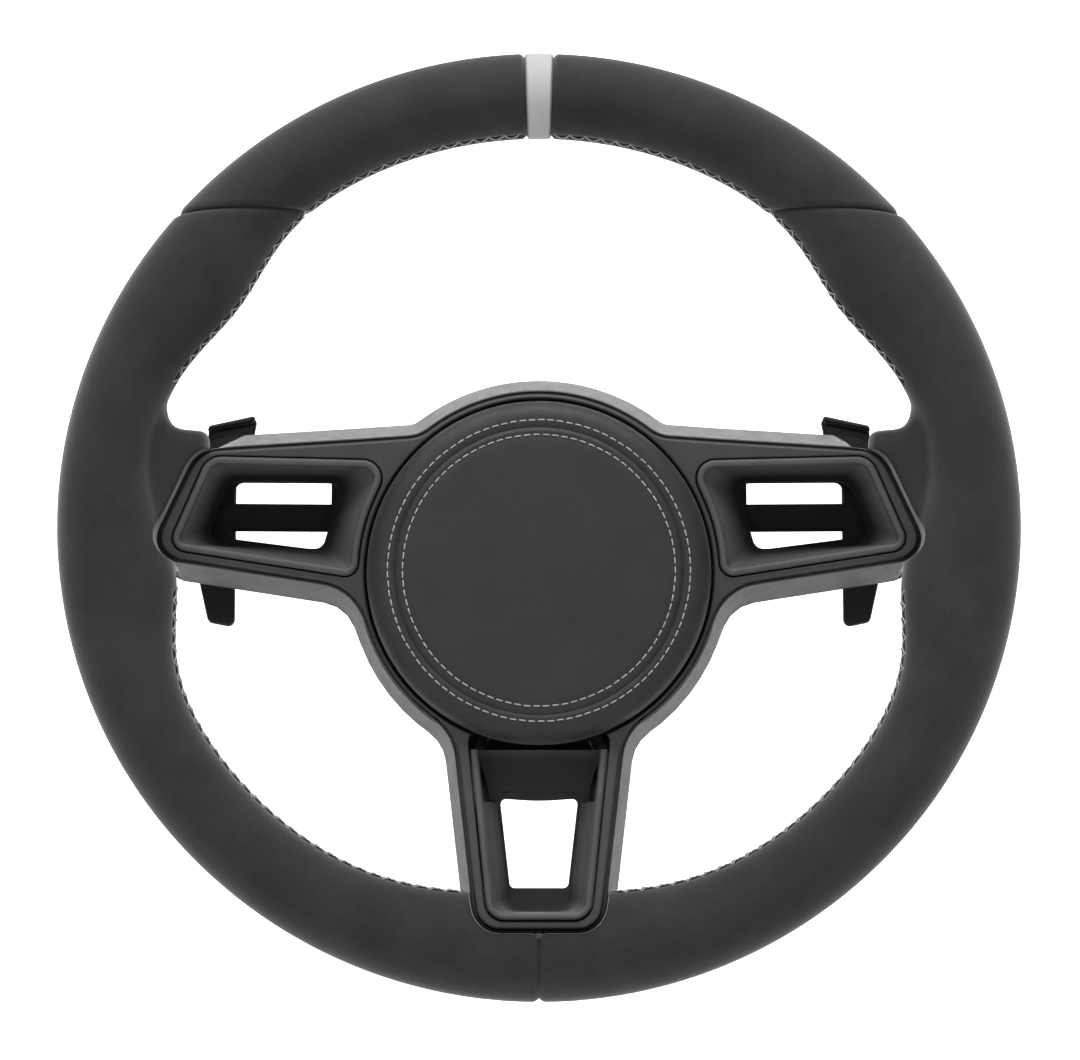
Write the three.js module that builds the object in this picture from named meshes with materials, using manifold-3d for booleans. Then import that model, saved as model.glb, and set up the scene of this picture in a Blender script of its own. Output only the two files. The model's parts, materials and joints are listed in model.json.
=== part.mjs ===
// A three-spoke racing steering wheel with shift paddles and a round horn pad.
//
// Everything is modelled as the driver sees it, in millimetres: x to the right, y up and z towards the
// driver, with z = 0 on the rear face of the hub, where the steering shaft's shoulder seats. The group at
// the end turns that to +Z up, with the driver on the -Y side. The origin is on the steering axis.

import * as THREE from "three";
import { mergeVertices } from "three/addons/utils/BufferGeometryUtils.js";
import Module from "manifold-3d";

const wasm = await Module();
wasm.setup();

// ---------------------------------------------------------------- driving dimensions

const GAP = 0.3; // between pieces that touch
const FIT = 0.5; // around a piece that passes through another

// Rim: a grip of egg-shaped section round a cast ring, a little lower than it is wide.
const RIM_WIDTH = 360;
const RIM_HEIGHT = 356;
const GRIP = 32; // radial thickness of the grip
const GRIP_DEPTH = 30; // front to back
const RIM_PLANE = 80; // from the hub's rear face to the middle of the rim
const HIDE = 1.2; // suede and pad leather
const RING_ROD = 12; // thickness of the cast ring inside the grip
const RIM_STEPS = 40;
const GRIP_SIDES = 12;
const ROD_SIDES = 6;
// Thicker places on the inner side of the grip: clock angle, swell and half width of each.
const SWELLS = [
  { clock: 54, swell: 8.3, half: 12 }, // thumb rest
  { clock: 98, swell: 11, half: 12 }, // under the side spoke
  { clock: 180, swell: 8, half: 20 }, // beside the lower spoke
];
const MARKER_ANGLE = 1.8; // half angle of the twelve o'clock band
const SEAM_HEIGHT = 118; // height of the level seams between the upper and side wraps

// Horn pad: a leather-covered puck, set below the steering axis.
const PAD_RADIUS = 64.5;
const PAD_DROP = 18.4;
const PAD_CROWN = 84; // height of the middle of the pad
const PAD_DOME = 0.8; // fall of the crown from the middle to the leather's seam
const PAD_SEAM_INSET = 10.7; // from the pad's side to the leather's seam
const PAD_EDGE = 7.5; // rounding of the pad's rim
const PAD_SKIRT = 64; // lower edge of the leather's side
const PAD_BACK = 57;
const CORE_EDGE = 60; // underside of the core's rim
const PAD_TRAVEL = 2; // how far the pad is pressed for the horn
const PAD_GAP = 1.5; // between the pad and the spoke frame

// Spoke frame: a three-armed shell of satin plastic, wider at its back.
const FACE = 74; // height of the frame's face at the hub
const FRAME_DEPTH = 20;
const FRAME_WALL = 2.4;
const FACE_EDGE = 0.8; // bevel round the face
const CROWN_RING = 4; // the face's width above the pad
const FLANK_RING = 3; // the face's width beside the pad
const SPOKE_TOP = 28.1; // height of the side spoke's top edge near the rim
const SPOKE_BOTTOM = -16.8;
const SPOKE_END_INSET = 6.5; // from the rim's inner edge to the side spoke's end
const LOWER_HALF = 28.3; // half width of the lower spoke's face, halfway along
const LOWER_OVERLAP = 6.5; // how far the lower spoke's face lies over the rim
// The face rises towards the rim, by this much for each millimetre past its start.
const SIDE_RISE = 0.06;
const SIDE_RISE_SETBACK = 2; // from the pad's hole to where the rise starts
const LOWER_RISE = 0.17;
const LOWER_RISE_SETBACK = 1.6;

// Inserts in the spokes.
const LIP_RING = 2; // between the pad's hole and the side inserts
const LIP = 2.7; // width of the raised bead
const LIP_PROUD = 1.4;
const LOWER_LIP_SETBACK = 0.6; // between the pad's hole and the lower insert
const LOWER_SLOPE = 18; // from the top of the lower insert to its throat
const INSERT_WALL = 2;
const VANE_TOP = 9.2;
const VANE_BOTTOM = -1.4;
const VANE_DEPTH = 4.6;
const THROAT_SETBACK = [16, 12, 9.2]; // from the pad's hole to the side throat's inner corners

// Rear cover: a plate behind the spokes and a bowl behind the hub.
const COVER_THICK = 3.7;
const BOWL_RADIUS = 60;
const BOWL_FLOOR = 23;
const BOWL_WALL = 2.4;

// Cast armature, and the steel hub that fastens it to the shaft.
const HUB_RADIUS = 21;
const HUB_PLATE_BACK = 34;
const HUB_PLATE_FRONT = 41;
const HUB_PLATE_RADIUS = 48;
const HUB_PLATE_DROP = 16;
const ARM_RADIUS = 3.6;
const ARM_SIDES = 7;
const ARM_STEPS = 14;
const BORE_RADIUS = 8.7;
const BOLT_RADIUS = 6.8;
const BOLT_HEAD_FLATS = 22;
const BOLT_HEAD = 5;
const BOLT_LENGTH = 24;
const WASHER = 2;
const WASHER_RADIUS = 14;

// Horn pad carrier, shoulder screws, springs and contacts.
const CARRIER_BACK = 52;
const CARRIER_RADIUS = 50;
const POST_CLEARANCE = 13; // from the hub to the screws' circle
const POST_RADIUS = 3;
const POST_HEAD_RADIUS = 5.5;
const POST_HEAD = 4;
const SPRING_RADIUS = 5.2;
const SPRING_WIRE = 1.2;
const CONTACT_HEIGHT = 3;
const CONTACT_DROP = 38;

// Shift paddles, on a bracket behind each side spoke.
const PIVOT_X = 72;
const PIVOT_DROP = 10; // from the bracket's base back to the pivot
const PIN_RADIUS = 2;
const PIN_CLEARANCE = 0.1;
const KNUCKLE_RADIUS = 4.6;
const KNUCKLE_LOW = -5.5;
const KNUCKLE_HIGH = 13.5;
const ARM_HEIGHT = 7; // of the paddle's arm and of the bracket's tongue
const ARM_Y = 5;
const BLADE_THICK = 4;
const BLADE_INNER = 117;
const BLADE_OUTER = 131;
const EAR_TOP = 46;
const EAR_BOTTOM = -36;
const SWITCH_X = 85.5;
const PLUNGER_X = 84;
const SWITCH_LENGTH = 12.8;
const SWITCH_DEPTH = 6;
const RETURN_SPRING_X = 98;
const BASE_THICK = 3.7;
const EAR_THICK = 6;
const LEAD_RADIUS = 1.2;
const LEAD_DROP = 2.6; // from the bracket's base back to the lead
const LEAD_HOLE = [42, -4]; // through the hub plate

// ---------------------------------------------------------------- worked out from those

const RIM_RADIUS = RIM_WIDTH / 2;
const RIM_OVAL = (RIM_WIDTH - RIM_HEIGHT) / 2;
const GRIP_CENTRE = RIM_RADIUS - GRIP / 2;
const RIM_INNER = RIM_RADIUS - GRIP;
const SPOKE_END = RIM_INNER - SPOKE_END_INSET;
const LOWER_END = RIM_INNER - RIM_OVAL + LOWER_OVERLAP;
const FRAME_BACK = FACE - FRAME_DEPTH;
const COVER_FRONT = FRAME_BACK - GAP;
const COVER_BACK = COVER_FRONT - COVER_THICK;
const PAD_HOLE = PAD_RADIUS + PAD_GAP;
const PAD_SEAM_RADIUS = PAD_RADIUS - PAD_SEAM_INSET;
const SIDE_RISE_START = PAD_HOLE + SIDE_RISE_SETBACK;
const LOWER_RISE_START = PAD_DROP + PAD_HOLE + LOWER_RISE_SETBACK;
const LOWER_LIP_TOP = -PAD_DROP - PAD_HOLE - LOWER_LIP_SETBACK;
const LOWER_THROAT_TOP = LOWER_LIP_TOP - LOWER_SLOPE;
const POST_CIRCLE = HUB_RADIUS + POST_CLEARANCE;
const BRACKET_BASE = COVER_BACK - GAP - BASE_THICK;
const PIVOT_Z = BRACKET_BASE - PIVOT_DROP;
const LEAD_Z = BRACKET_BASE - LEAD_DROP;
const radians = THREE.MathUtils.degToRad;

const COLOURS = {
  suede: { color: 0x2b2b2c, roughness: 0.95, metalness: 0 },
  marker: { color: 0xb9b9ba, roughness: 0.9, metalness: 0 },
  leather: { color: 0x333334, roughness: 0.6, metalness: 0 },
  satin: { color: 0x232324, roughness: 0.38, metalness: 0 },
  plastic: { color: 0x1b1b1c, roughness: 0.55, metalness: 0 },
  foam: { color: 0x3a3a3a, roughness: 0.95, metalness: 0 },
  casting: { color: 0x9a9c9e, roughness: 0.5, metalness: 0.9 },
  steel: { color: 0x8d8f92, roughness: 0.35, metalness: 1 },
  brass: { color: 0xb08d4a, roughness: 0.35, metalness: 1 },
};

// ---------------------------------------------------------------- solids from geometry

function solid(geometry) {
  const bare = new THREE.BufferGeometry();
  const loose = geometry.index ? geometry.toNonIndexed() : geometry;
  bare.setAttribute("position", loose.getAttribute("position"));
  const merged = mergeVertices(bare, 1e-3);
  const mesh = new wasm.Mesh({
    numProp: 3,
    vertProperties: merged.attributes.position.array,
    triVerts: new Uint32Array(merged.index.array),
  });
  return new wasm.Manifold(mesh);
}

function geometryOf(manifold) {
  const mesh = manifold.getMesh();
  const geometry = new THREE.BufferGeometry();
  geometry.setAttribute("position", new THREE.BufferAttribute(mesh.vertProperties, 3));
  geometry.setIndex(new THREE.BufferAttribute(mesh.triVerts, 1));
  geometry.computeVertexNormals();
  return geometry;
}

const join = (...solids) => solids.reduce((whole, piece) => whole.add(piece));
const cut = (whole, ...tools) => tools.reduce((left, tool) => left.subtract(tool), whole);

// A box between two corners.
function box([x0, y0, z0], [x1, y1, z1]) {
  const geometry = new THREE.BoxGeometry(x1 - x0, y1 - y0, z1 - z0);
  return solid(geometry.translate((x0 + x1) / 2, (y0 + y1) / 2, (z0 + z1) / 2));
}

// A round bar along z between two heights.
function bar(x, y, z0, z1, radius, sides = 24) {
  const geometry = new THREE.CylinderGeometry(radius, radius, z1 - z0, sides);
  return solid(geometry.rotateX(Math.PI / 2).translate(x, y, (z0 + z1) / 2));
}

// A turned piece about a line along z, from a profile of [radius, height] pairs, back to front.
function turned(profile, x = 0, y = 0, sides = 32) {
  const points = profile.map(([r, z]) => new THREE.Vector2(r, z));
  return solid(new THREE.LatheGeometry(points, sides).rotateX(Math.PI / 2).translate(x, y, 0));
}

// A closed solid through rings of equal counts of points, listed from back to front and anticlockwise.
function loft(rings) {
  const count = rings[0].length;
  const triangles = [];
  for (let k = 0; k + 1 < rings.length; k++) {
    for (let i = 0; i < count; i++) {
      const j = (i + 1) % count;
      const [a, b, c, d] = [rings[k][i], rings[k][j], rings[k + 1][j], rings[k + 1][i]];
      triangles.push(a, b, c, a, c, d);
    }
  }
  for (const [ring, front] of [[rings[0], false], [rings.at(-1), true]]) {
    const flat = ring.map(([x, y]) => new THREE.Vector2(x, y));
    for (const [a, b, c] of THREE.ShapeUtils.triangulateShape(flat, [])) {
      const area = (flat[b].x - flat[a].x) * (flat[c].y - flat[a].y)
        - (flat[b].y - flat[a].y) * (flat[c].x - flat[a].x);
      const turn = area > 0 === front ? [a, b, c] : [a, c, b];
      triangles.push(...turn.map((i) => ring[i]));
    }
  }
  const geometry = new THREE.BufferGeometry();
  geometry.setAttribute("position", new THREE.Float32BufferAttribute(triangles.flat(), 3));
  return solid(geometry);
}

// ---------------------------------------------------------------- outlines

// A closed outline from straight edges, each { at, heading, grow }, taken anticlockwise, with the radius
// of the corner after each edge and how many points that corner has. An edge moves outwards by its grow,
// and its corners keep their centres as they do.
function outline(edges) {
  const lines = edges.map((edge) => {
    const along = new THREE.Vector2(1, 0).rotateAround(new THREE.Vector2(), radians(edge.heading));
    const out = new THREE.Vector2(along.y, -along.x);
    const at = new THREE.Vector2(...edge.at).addScaledVector(out, edge.grow);
    return { along, at };
  });
  const corners = lines.map((line, i) => {
    const next = lines[(i + 1) % lines.length];
    const apart = next.at.clone().sub(line.at);
    const reach = apart.cross(next.along) / line.along.cross(next.along);
    return line.at.clone().addScaledVector(line.along, reach);
  });
  const points = [];
  corners.forEach((corner, i) => {
    const after = (i + 1) % corners.length;
    const before = (i + corners.length - 1) % corners.length;
    const [into, away] = [lines[i].along, lines[after].along];
    const turn = Math.atan2(into.cross(away), into.dot(away));
    const grown = ((edges[i].grow + edges[after].grow) / 2) * Math.sign(turn);
    const room = 0.49 * Math.min(corner.distanceTo(corners[before]), corner.distanceTo(corners[after]));
    const tangent = Math.tan(Math.abs(turn) / 2);
    const wanted = Math.max(edges[i].radius + grown, 0.5);
    const radius = edges[i].ring ? wanted : Math.min(wanted, room / tangent);
    const start = corner.clone().addScaledVector(into, -radius * tangent);
    const side = new THREE.Vector2(-into.y, into.x).multiplyScalar(radius * Math.sign(turn));
    const centre = start.clone().add(side);
    const steps = edges[i].steps ?? 3;
    for (let s = 0; s <= steps; s++) {
      points.push(start.clone().rotateAround(centre, (turn * s) / steps));
    }
  });
  return points.map((p) => [p.x, p.y]);
}

// The same from corners of [x, y, radius], anticlockwise. grow is one number, or one for each edge.
function polygon(corners, grow = 0, steps = 3) {
  const edges = corners.map(([x, y], i) => {
    const [nextX, nextY, radius] = corners[(i + 1) % corners.length];
    const heading = THREE.MathUtils.radToDeg(Math.atan2(nextY - y, nextX - x));
    return { at: [x, y], heading, radius, steps, grow: Array.isArray(grow) ? grow[i] : grow };
  });
  return outline(edges);
}

const mirrored = (corners) => corners.map(([x, y, ...rest]) => [-x, y, ...rest]).reverse();

// An outline as a ring at a height.
const level = (points, z) => points.map(([x, y]) => [x, y, z]);
const prism = (points, z0, z1) => loft([level(points, z0), level(points, z1)]);

// A level solid with its spokes tilted, so that they climb towards the rim. Each is cut off where its
// slope starts, sheared about that cut and joined on again.
function tilted(whole) {
  const far = RIM_WIDTH;
  const [side, lower] = [SIDE_RISE_START, -LOWER_RISE_START];
  const sheared = (block, alongX, alongY, start) => {
    const shear = new THREE.Matrix4().set(1, 0, 0, 0, 0, 1, 0, 0, alongX, alongY, 1, start, 0, 0, 0, 1);
    return solid(geometryOf(whole.intersect(block)).applyMatrix4(shear));
  };
  return join(
    whole.intersect(box([-side, lower, -far], [side, far, far])),
    sheared(box([-far, lower, -far], [-side, far, far]), -SIDE_RISE, 0, -SIDE_RISE * side),
    sheared(box([side, lower, -far], [far, far, far]), SIDE_RISE, 0, -SIDE_RISE * side),
    sheared(box([-far, -far, -far], [far, lower, far]), 0, -LOWER_RISE, LOWER_RISE * lower),
  );
}

// The three-armed outline of the frame. flare is 0 at its face and 1 at its back, where it is widest.
function frameOutline(flare, grow = 0) {
  const crown = PAD_RADIUS + CROWN_RING;
  const flank = PAD_RADIUS + FLANK_RING;
  const half = [
    { at: onRing(crown, 90), heading: 180, spread: 7, radius: crown, ring: true, steps: 7 },
    { at: onRing(crown, 127), heading: 217, spread: 7, radius: 14 },
    { at: [-SPOKE_END + 21, SPOKE_TOP], heading: 184, spread: 7, radius: 13 },
    { at: [-SPOKE_END + 6.5, 13.3], heading: 245, spread: 3, radius: 9 },
    { at: [-SPOKE_END + 21, SPOKE_BOTTOM], heading: 351.4, spread: 5.5, radius: 20 },
    { at: onRing(flank, 201), heading: 291, spread: 5, radius: flank, ring: true, steps: 6 },
    { at: onRing(flank, 236), heading: 326, spread: 5, radius: 20 },
    { at: [-LOWER_HALF, -111], heading: 276.8, spread: 4.3, radius: 10 },
  ];
  const foot = { at: [0, -LOWER_END], heading: 0, spread: 1, radius: 10 };
  // Going up the other side, the corner after an edge is the one before it on this side.
  const other = half.map((edge, i) => ({
    ...edge,
    at: [-edge.at[0], edge.at[1]],
    heading: -edge.heading,
    radius: half[i - 1]?.radius,
    ring: half[i - 1]?.ring,
    steps: half[i - 1]?.steps,
  }));
  const edges = [...half, foot, ...other.slice(1).reverse()];
  return outline(edges.map((edge) => ({ ...edge, grow: grow + flare * edge.spread })));
}

// ---------------------------------------------------------------- rim

function swellAt(clock) {
  const around = Math.abs(((clock + 540) % 360) - 180);
  return SWELLS.reduce((sum, s) => sum + s.swell * Math.exp(-(((around - s.clock) / s.half) ** 2)), 0);
}

// A closed tube round the rim. The clock angle runs from twelve o'clock towards three.
function rimTube(radial, depth, sides, swells) {
  const ring = (clock) => {
    const swell = swells ? swellAt(clock) : 0;
    return Array.from({ length: sides }, (_, j) => {
      const turn = (2 * Math.PI * j) / sides;
      const r = GRIP_CENTRE + radial * Math.cos(turn) - (swell * (1 - Math.cos(turn))) / 2;
      const [s, c] = [Math.sin(radians(clock)), Math.cos(radians(clock))];
      return [r * s, (r - RIM_OVAL) * c, RIM_PLANE + depth * Math.sin(turn)];
    });
  };
  const rings = Array.from({ length: RIM_STEPS }, (_, i) => ring((360 * i) / RIM_STEPS));
  const triangles = [];
  rings.forEach((here, i) => {
    const next = rings[(i + 1) % RIM_STEPS];
    here.forEach((a, j) => {
      const k = (j + 1) % sides;
      const [b, c, d] = [here[k], next[k], next[j]];
      // The diagonals of one half mirror those of the other.
      triangles.push(...(i < RIM_STEPS / 2 ? [a, b, c, a, c, d] : [a, b, d, b, c, d]));
    });
  });
  const geometry = new THREE.BufferGeometry();
  geometry.setAttribute("position", new THREE.Float32BufferAttribute(triangles.flat(), 3));
  return solid(geometry);
}

// The collar that carries the grip inwards round the end of a side spoke.
const COLLAR = [
  [-RIM_INNER - 12, 52, 1],
  [-RIM_INNER - 12, -40, 1],
  [-RIM_INNER + 9, -40, 4],
  [-RIM_INNER + 15.5, -19.6, 8],
  [-RIM_INNER + 26, -19.6, 1],
  [-RIM_INNER + 26, 33.8, 1],
  [-RIM_INNER + 8, 35, 9],
  [-RIM_INNER + 6, 52, 6],
];
const COLLAR_BACK = RIM_PLANE - 20;
const COLLAR_FRONT = RIM_PLANE + 3;

function gripBody(shrink) {
  const tube = rimTube(GRIP / 2 - shrink, GRIP_DEPTH / 2 - shrink, GRIP_SIDES, true);
  const collars = [COLLAR, mirrored(COLLAR)].map((corners) => {
    const ring = (grow, z) => polygon(corners, grow - shrink, 2).map(([x, y]) => [x, y, z]);
    return loft([
      ring(-4, COLLAR_BACK + shrink),
      ring(0, COLLAR_BACK + 5),
      ring(0, COLLAR_FRONT - 5),
      ring(-4, COLLAR_FRONT - shrink),
    ]);
  });
  return join(tube, ...collars);
}

// The room that the frame and the rear cover take out of the rim.
function framePocket(grow) {
  const far = RIM_PLANE + GRIP_DEPTH;
  const face = frameOutline(0, grow);
  const back = frameOutline(1, grow);
  const room = loft([
    level(back, COVER_BACK - GRIP_DEPTH),
    level(back, FRAME_BACK),
    level(face, FACE),
    level(face, far),
  ]);
  return tilted(room);
}

// ---------------------------------------------------------------- armature

const PAD = [0, -PAD_DROP];
// Waypoints of the cast arms on the left: hub plate, over the rear cover, along the spoke and into the ring.
const ARMS = [
  [[-36, 8, 38], [-48.9, 12.8, 46], [-55.6, 17.1, 53], [-64, 22.5, 58], [-75, 25.5, 58.8],
    [-SPOKE_END + 23.5, 25.6, 61.3], [-GRIP_CENTRE + 5, 14, RIM_PLANE]],
  [[-42, -17, 38], [-54, -18, 46], [-61, -18.4, 51], [-68, -18.8, 56], [-75, -19, 58],
    [-SPOKE_END + 21.5, -15, 61.3], [-GRIP_CENTRE + 1, -12, RIM_PLANE]],
  [[-15, -58, 38], [-19.6, -71.9, 45.5], [-22.7, -80.4, 53], [-26.2, -89.8, 58.8],
    [-21.5, -LOWER_END + 17.5, 66.5], [-16, -GRIP_CENTRE + RIM_OVAL + 1, RIM_PLANE]],
];

// A smooth curve through a list of points.
const through = (way) =>
  new THREE.CatmullRomCurve3(way.map((point) => new THREE.Vector3(...point)), false, "centripetal");

function arms(grow) {
  const both = [...ARMS, ...ARMS.map((way) => way.map(([x, y, z]) => [-x, y, z]))];
  return join(...both.map((way) => swept(through(way), ARM_RADIUS + grow, ARM_SIDES, ARM_STEPS)));
}

const POSTS = [30, 150, 270].map((angle) => onRing(POST_CIRCLE, angle));

function armature() {
  const ring = rimTube(RING_ROD / 2, RING_ROD / 2, ROD_SIDES, false);
  const plate = bar(0, -HUB_PLATE_DROP, HUB_PLATE_BACK, HUB_PLATE_FRONT, HUB_PLATE_RADIUS, 36);
  const bores = [
    bar(0, 0, HUB_PLATE_BACK - 1, HUB_PLATE_FRONT + 1, BOLT_RADIUS + FIT),
    bar(0, -CONTACT_DROP, HUB_PLATE_BACK - 1, HUB_PLATE_FRONT + 1, 1.5 + FIT, 12),
    ...POSTS.map(([x, y]) => bar(x, y, HUB_PLATE_BACK - 1, HUB_PLATE_FRONT + 1, POST_RADIUS + FIT, 16)),
    ...[-1, 1].map((side) => {
      const [x, y] = LEAD_HOLE;
      return bar(side * x, y, HUB_PLATE_BACK - 1, HUB_PLATE_FRONT + 1, LEAD_RADIUS + 2, 16);
    }),
  ];
  return cut(join(ring, arms(0), plate), ...bores);
}

// ---------------------------------------------------------------- frame, inserts and rear cover

// A point of a circle round the middle of the pad.
function onRing(radius, angle) {
  return [radius * Math.cos(radians(angle)), -PAD_DROP + radius * Math.sin(radians(angle))];
}

// Left side spoke: the bead's outline on the face, whose inner side follows the pad.
function sideLip(grow) {
  const ring = PAD_HOLE + LIP_RING;
  const edges = [
    { at: [-SPOKE_END + 9.7, 7.4], heading: 247, radius: 5 },
    { at: [-100, -15.8], heading: 351.4, radius: 5 },
    { at: onRing(ring, 176), heading: 86, radius: ring, ring: true },
    { at: onRing(ring, 156), heading: 66, radius: 7 },
    { at: [-90, 24.3], heading: 179, radius: 8 },
  ];
  return outline(edges.map((edge) => ({ ...edge, grow })));
}

// The throat that the side insert funnels down to.
const sideThroat = (grow) =>
  polygon(
    [
      [-SPOKE_END + 26.3, 17.2, 3],
      [-SPOKE_END + 24.5, -4.3, 3],
      [-PAD_HOLE - THROAT_SETBACK[0], -8.6, 4],
      [-PAD_HOLE - THROAT_SETBACK[1], 5, 30],
      [-PAD_HOLE - THROAT_SETBACK[2], 17.2, 4],
    ],
    grow,
  );

// Lower spoke: the same, from its upper left corner. open is how much further its top edge goes.
const lowerLip = (grow, open = 0) =>
  polygon(
    [
      [-25.6, LOWER_LIP_TOP, 1],
      [-19, -LOWER_END + 4.4, 7],
      [19, -LOWER_END + 4.4, 7],
      [25.6, LOWER_LIP_TOP, 1],
    ],
    [grow, grow, grow, grow + open],
  );

const lowerThroat = (grow) =>
  polygon(
    [
      [-14.7, LOWER_THROAT_TOP, 2],
      [-10.8, -LOWER_END + 16.3, 2],
      [10.8, -LOWER_END + 16.3, 2],
      [14.7, LOWER_THROAT_TOP, 2],
    ],
    grow,
  );

const mirroredRing = (points) => points.map(([x, ...rest]) => [-x, ...rest]).reverse();

function spokeFrame() {
  const shell = loft([
    level(frameOutline(1), FRAME_BACK),
    level(frameOutline(FACE_EDGE / FRAME_DEPTH), FACE - FACE_EDGE),
    level(frameOutline(0, -FACE_EDGE), FACE),
  ]);
  const hollow = loft([
    level(frameOutline(1, -FRAME_WALL), FRAME_BACK - 1),
    level(frameOutline(0.1, -FRAME_WALL), FACE - FRAME_WALL),
  ]);
  const skirt = cut(
    bar(...PAD, FACE - 12, FACE - 1, PAD_HOLE + FRAME_WALL, 40),
    bar(...PAD, FACE - 13, FACE, PAD_HOLE, 40),
  );
  const windows = [sideLip(FIT), mirroredRing(sideLip(FIT)), lowerLip(FIT, 8)].map((lip) =>
    prism(lip, FACE - 15, FACE + 5),
  );
  const mouth = bar(...PAD, BOWL_FLOOR, PAD_CROWN, PAD_HOLE, 40);
  const whole = join(cut(shell, hollow), skirt);
  return cut(tilted(cut(whole, mouth, ...windows)), arms(FIT));
}

// A funnel from a beaded lip down to a throat. mouth is the outline of its hollow at the bead.
function funnel(lip, mouth, throat) {
  const back = FRAME_BACK + 0.5;
  const body = loft([
    level(throat(INSERT_WALL), back),
    level(lip(-1.4), FACE - 6),
    level(lip(0), FACE - 5),
    level(lip(0), FACE + LIP_PROUD - 0.8),
    level(lip(-0.8), FACE + LIP_PROUD),
  ]);
  const hollow = loft([
    level(throat(0), back - 1),
    level(throat(0), back + 2),
    level(mouth(-LIP - 0.9), FACE - 2),
    level(mouth(-LIP), FACE + LIP_PROUD - 1),
    level(mouth(-LIP + 1.2), FACE + LIP_PROUD + 0.2),
  ]);
  return cut(body, hollow);
}

// The bar across the side throat, in section, with a chamfer along its upper edge.
function vane() {
  const back = FRAME_BACK + 0.5;
  const front = back + VANE_DEPTH;
  const [inner, outer] = [-PAD_HOLE - 10, -SPOKE_END + 23.5];
  const section = [
    [VANE_BOTTOM, back],
    [VANE_TOP, back],
    [VANE_TOP, back + 1.4],
    [VANE_TOP - 3, front],
    [VANE_BOTTOM + 1, front],
    [VANE_BOTTOM, front - 1],
  ];
  const shape = new THREE.Shape(section.map(([y, z]) => new THREE.Vector2(y, z)));
  const geometry = new THREE.ExtrudeGeometry(shape, { depth: inner - outer, bevelEnabled: false });
  // The section's axes are y and z, and it is extruded along x.
  const turn = new THREE.Matrix4().set(0, 0, 1, outer, 1, 0, 0, 0, 0, 1, 0, 0, 0, 0, 0, 1);
  return solid(geometry.applyMatrix4(turn));
}

function sideInsert() {
  const body = tilted(join(funnel(sideLip, sideLip, sideThroat), vane()));
  return cut(body, arms(FIT));
}

function lowerInsert() {
  const body = tilted(funnel(lowerLip, (grow) => lowerLip(grow, 9), lowerThroat));
  return cut(body, arms(FIT));
}

function circle(radius, y, z, sides = 32) {
  return Array.from({ length: sides }, (_, i) => {
    const turn = (2 * Math.PI * i) / sides;
    return [radius * Math.cos(turn), y + radius * Math.sin(turn), z];
  });
}

function rearCover() {
  const plate = loft([
    level(frameOutline(1, -1.5), COVER_BACK),
    level(frameOutline(1), COVER_BACK + 1.5),
    level(frameOutline(1), COVER_FRONT),
  ]);
  const bowl = (grow) =>
    loft([
      circle(BOWL_RADIUS - 18 + grow, -PAD_DROP + 6.4, BOWL_FLOOR - grow),
      circle(BOWL_RADIUS - 10 + grow, -PAD_DROP + 2.4, BOWL_FLOOR + 3 - grow),
      circle(BOWL_RADIUS - 4 + grow, -PAD_DROP + 0.9, BOWL_FLOOR + 9 - grow),
      circle(BOWL_RADIUS - 1 + grow, -PAD_DROP, BOWL_FLOOR + 17),
      circle(BOWL_RADIUS + grow, -PAD_DROP, grow ? COVER_FRONT + 1 : COVER_FRONT),
    ]);
  const windows = [sideThroat(0.6), mirroredRing(sideThroat(0.6)), lowerThroat(0.6)].map((throat) =>
    prism(throat, COVER_BACK - 2, COVER_FRONT + 2),
  );
  const hubHole = bar(0, 0, BOWL_FLOOR - 1, HUB_PLATE_BACK, HUB_RADIUS + 4);
  const plugHole = box([-13, -CONTACT_DROP - 8, BOWL_FLOOR - 1], [13, -CONTACT_DROP + 7, BOWL_FLOOR + 5]);
  const leadHoles = [-1, 1].map((side) => {
    const hole = new THREE.CylinderGeometry(LEAD_RADIUS + FIT, LEAD_RADIUS + FIT, 12, 10);
    return solid(hole.rotateZ(Math.PI / 2).translate(side * (BOWL_RADIUS - 4), ARM_Y, LEAD_Z));
  });
  const whole = cut(join(plate, bowl(0)), bowl(-BOWL_WALL));
  return cut(tilted(cut(whole, ...windows)), hubHole, plugHole, ...leadHoles, arms(FIT));
}

// ---------------------------------------------------------------- rim pieces

// The five cuts of hide round the grip, and the foam inside it.
function rimPieces() {
  const pocket = framePocket(FIT);
  const armRoom = arms(FIT);
  const ringRoom = rimTube(RING_ROD / 2 + GAP, RING_ROD / 2 + GAP, ROD_SIDES, false);
  const inner = gripBody(HIDE);
  const hide = cut(gripBody(0), inner, pocket, armRoom);
  const foam = cut(gripBody(HIDE + GAP), pocket, armRoom, ringRoom);
  const far = RIM_WIDTH;
  const seam = GAP / 2;
  const wedge = (angle) => {
    const x = Math.tan(radians(angle)) * far;
    const ring = (z) => [[0, 0, z], [x, far, z], [-x, far, z]];
    return loft([ring(0), ring(far)]);
  };
  const gapAngle = MARKER_ANGLE + THREE.MathUtils.radToDeg(GAP / RIM_INNER);
  const upper = box([-far, SEAM_HEIGHT + seam, 0], [-0.01, far, far]);
  const side = box([-far, -far, 0], [-seam, SEAM_HEIGHT - seam, far]);
  return {
    marker: hide.intersect(wedge(MARKER_ANGLE)),
    upper: cut(hide.intersect(upper), wedge(gapAngle)),
    side: hide.intersect(side),
    foam,
  };
}

// ---------------------------------------------------------------- horn pad

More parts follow.
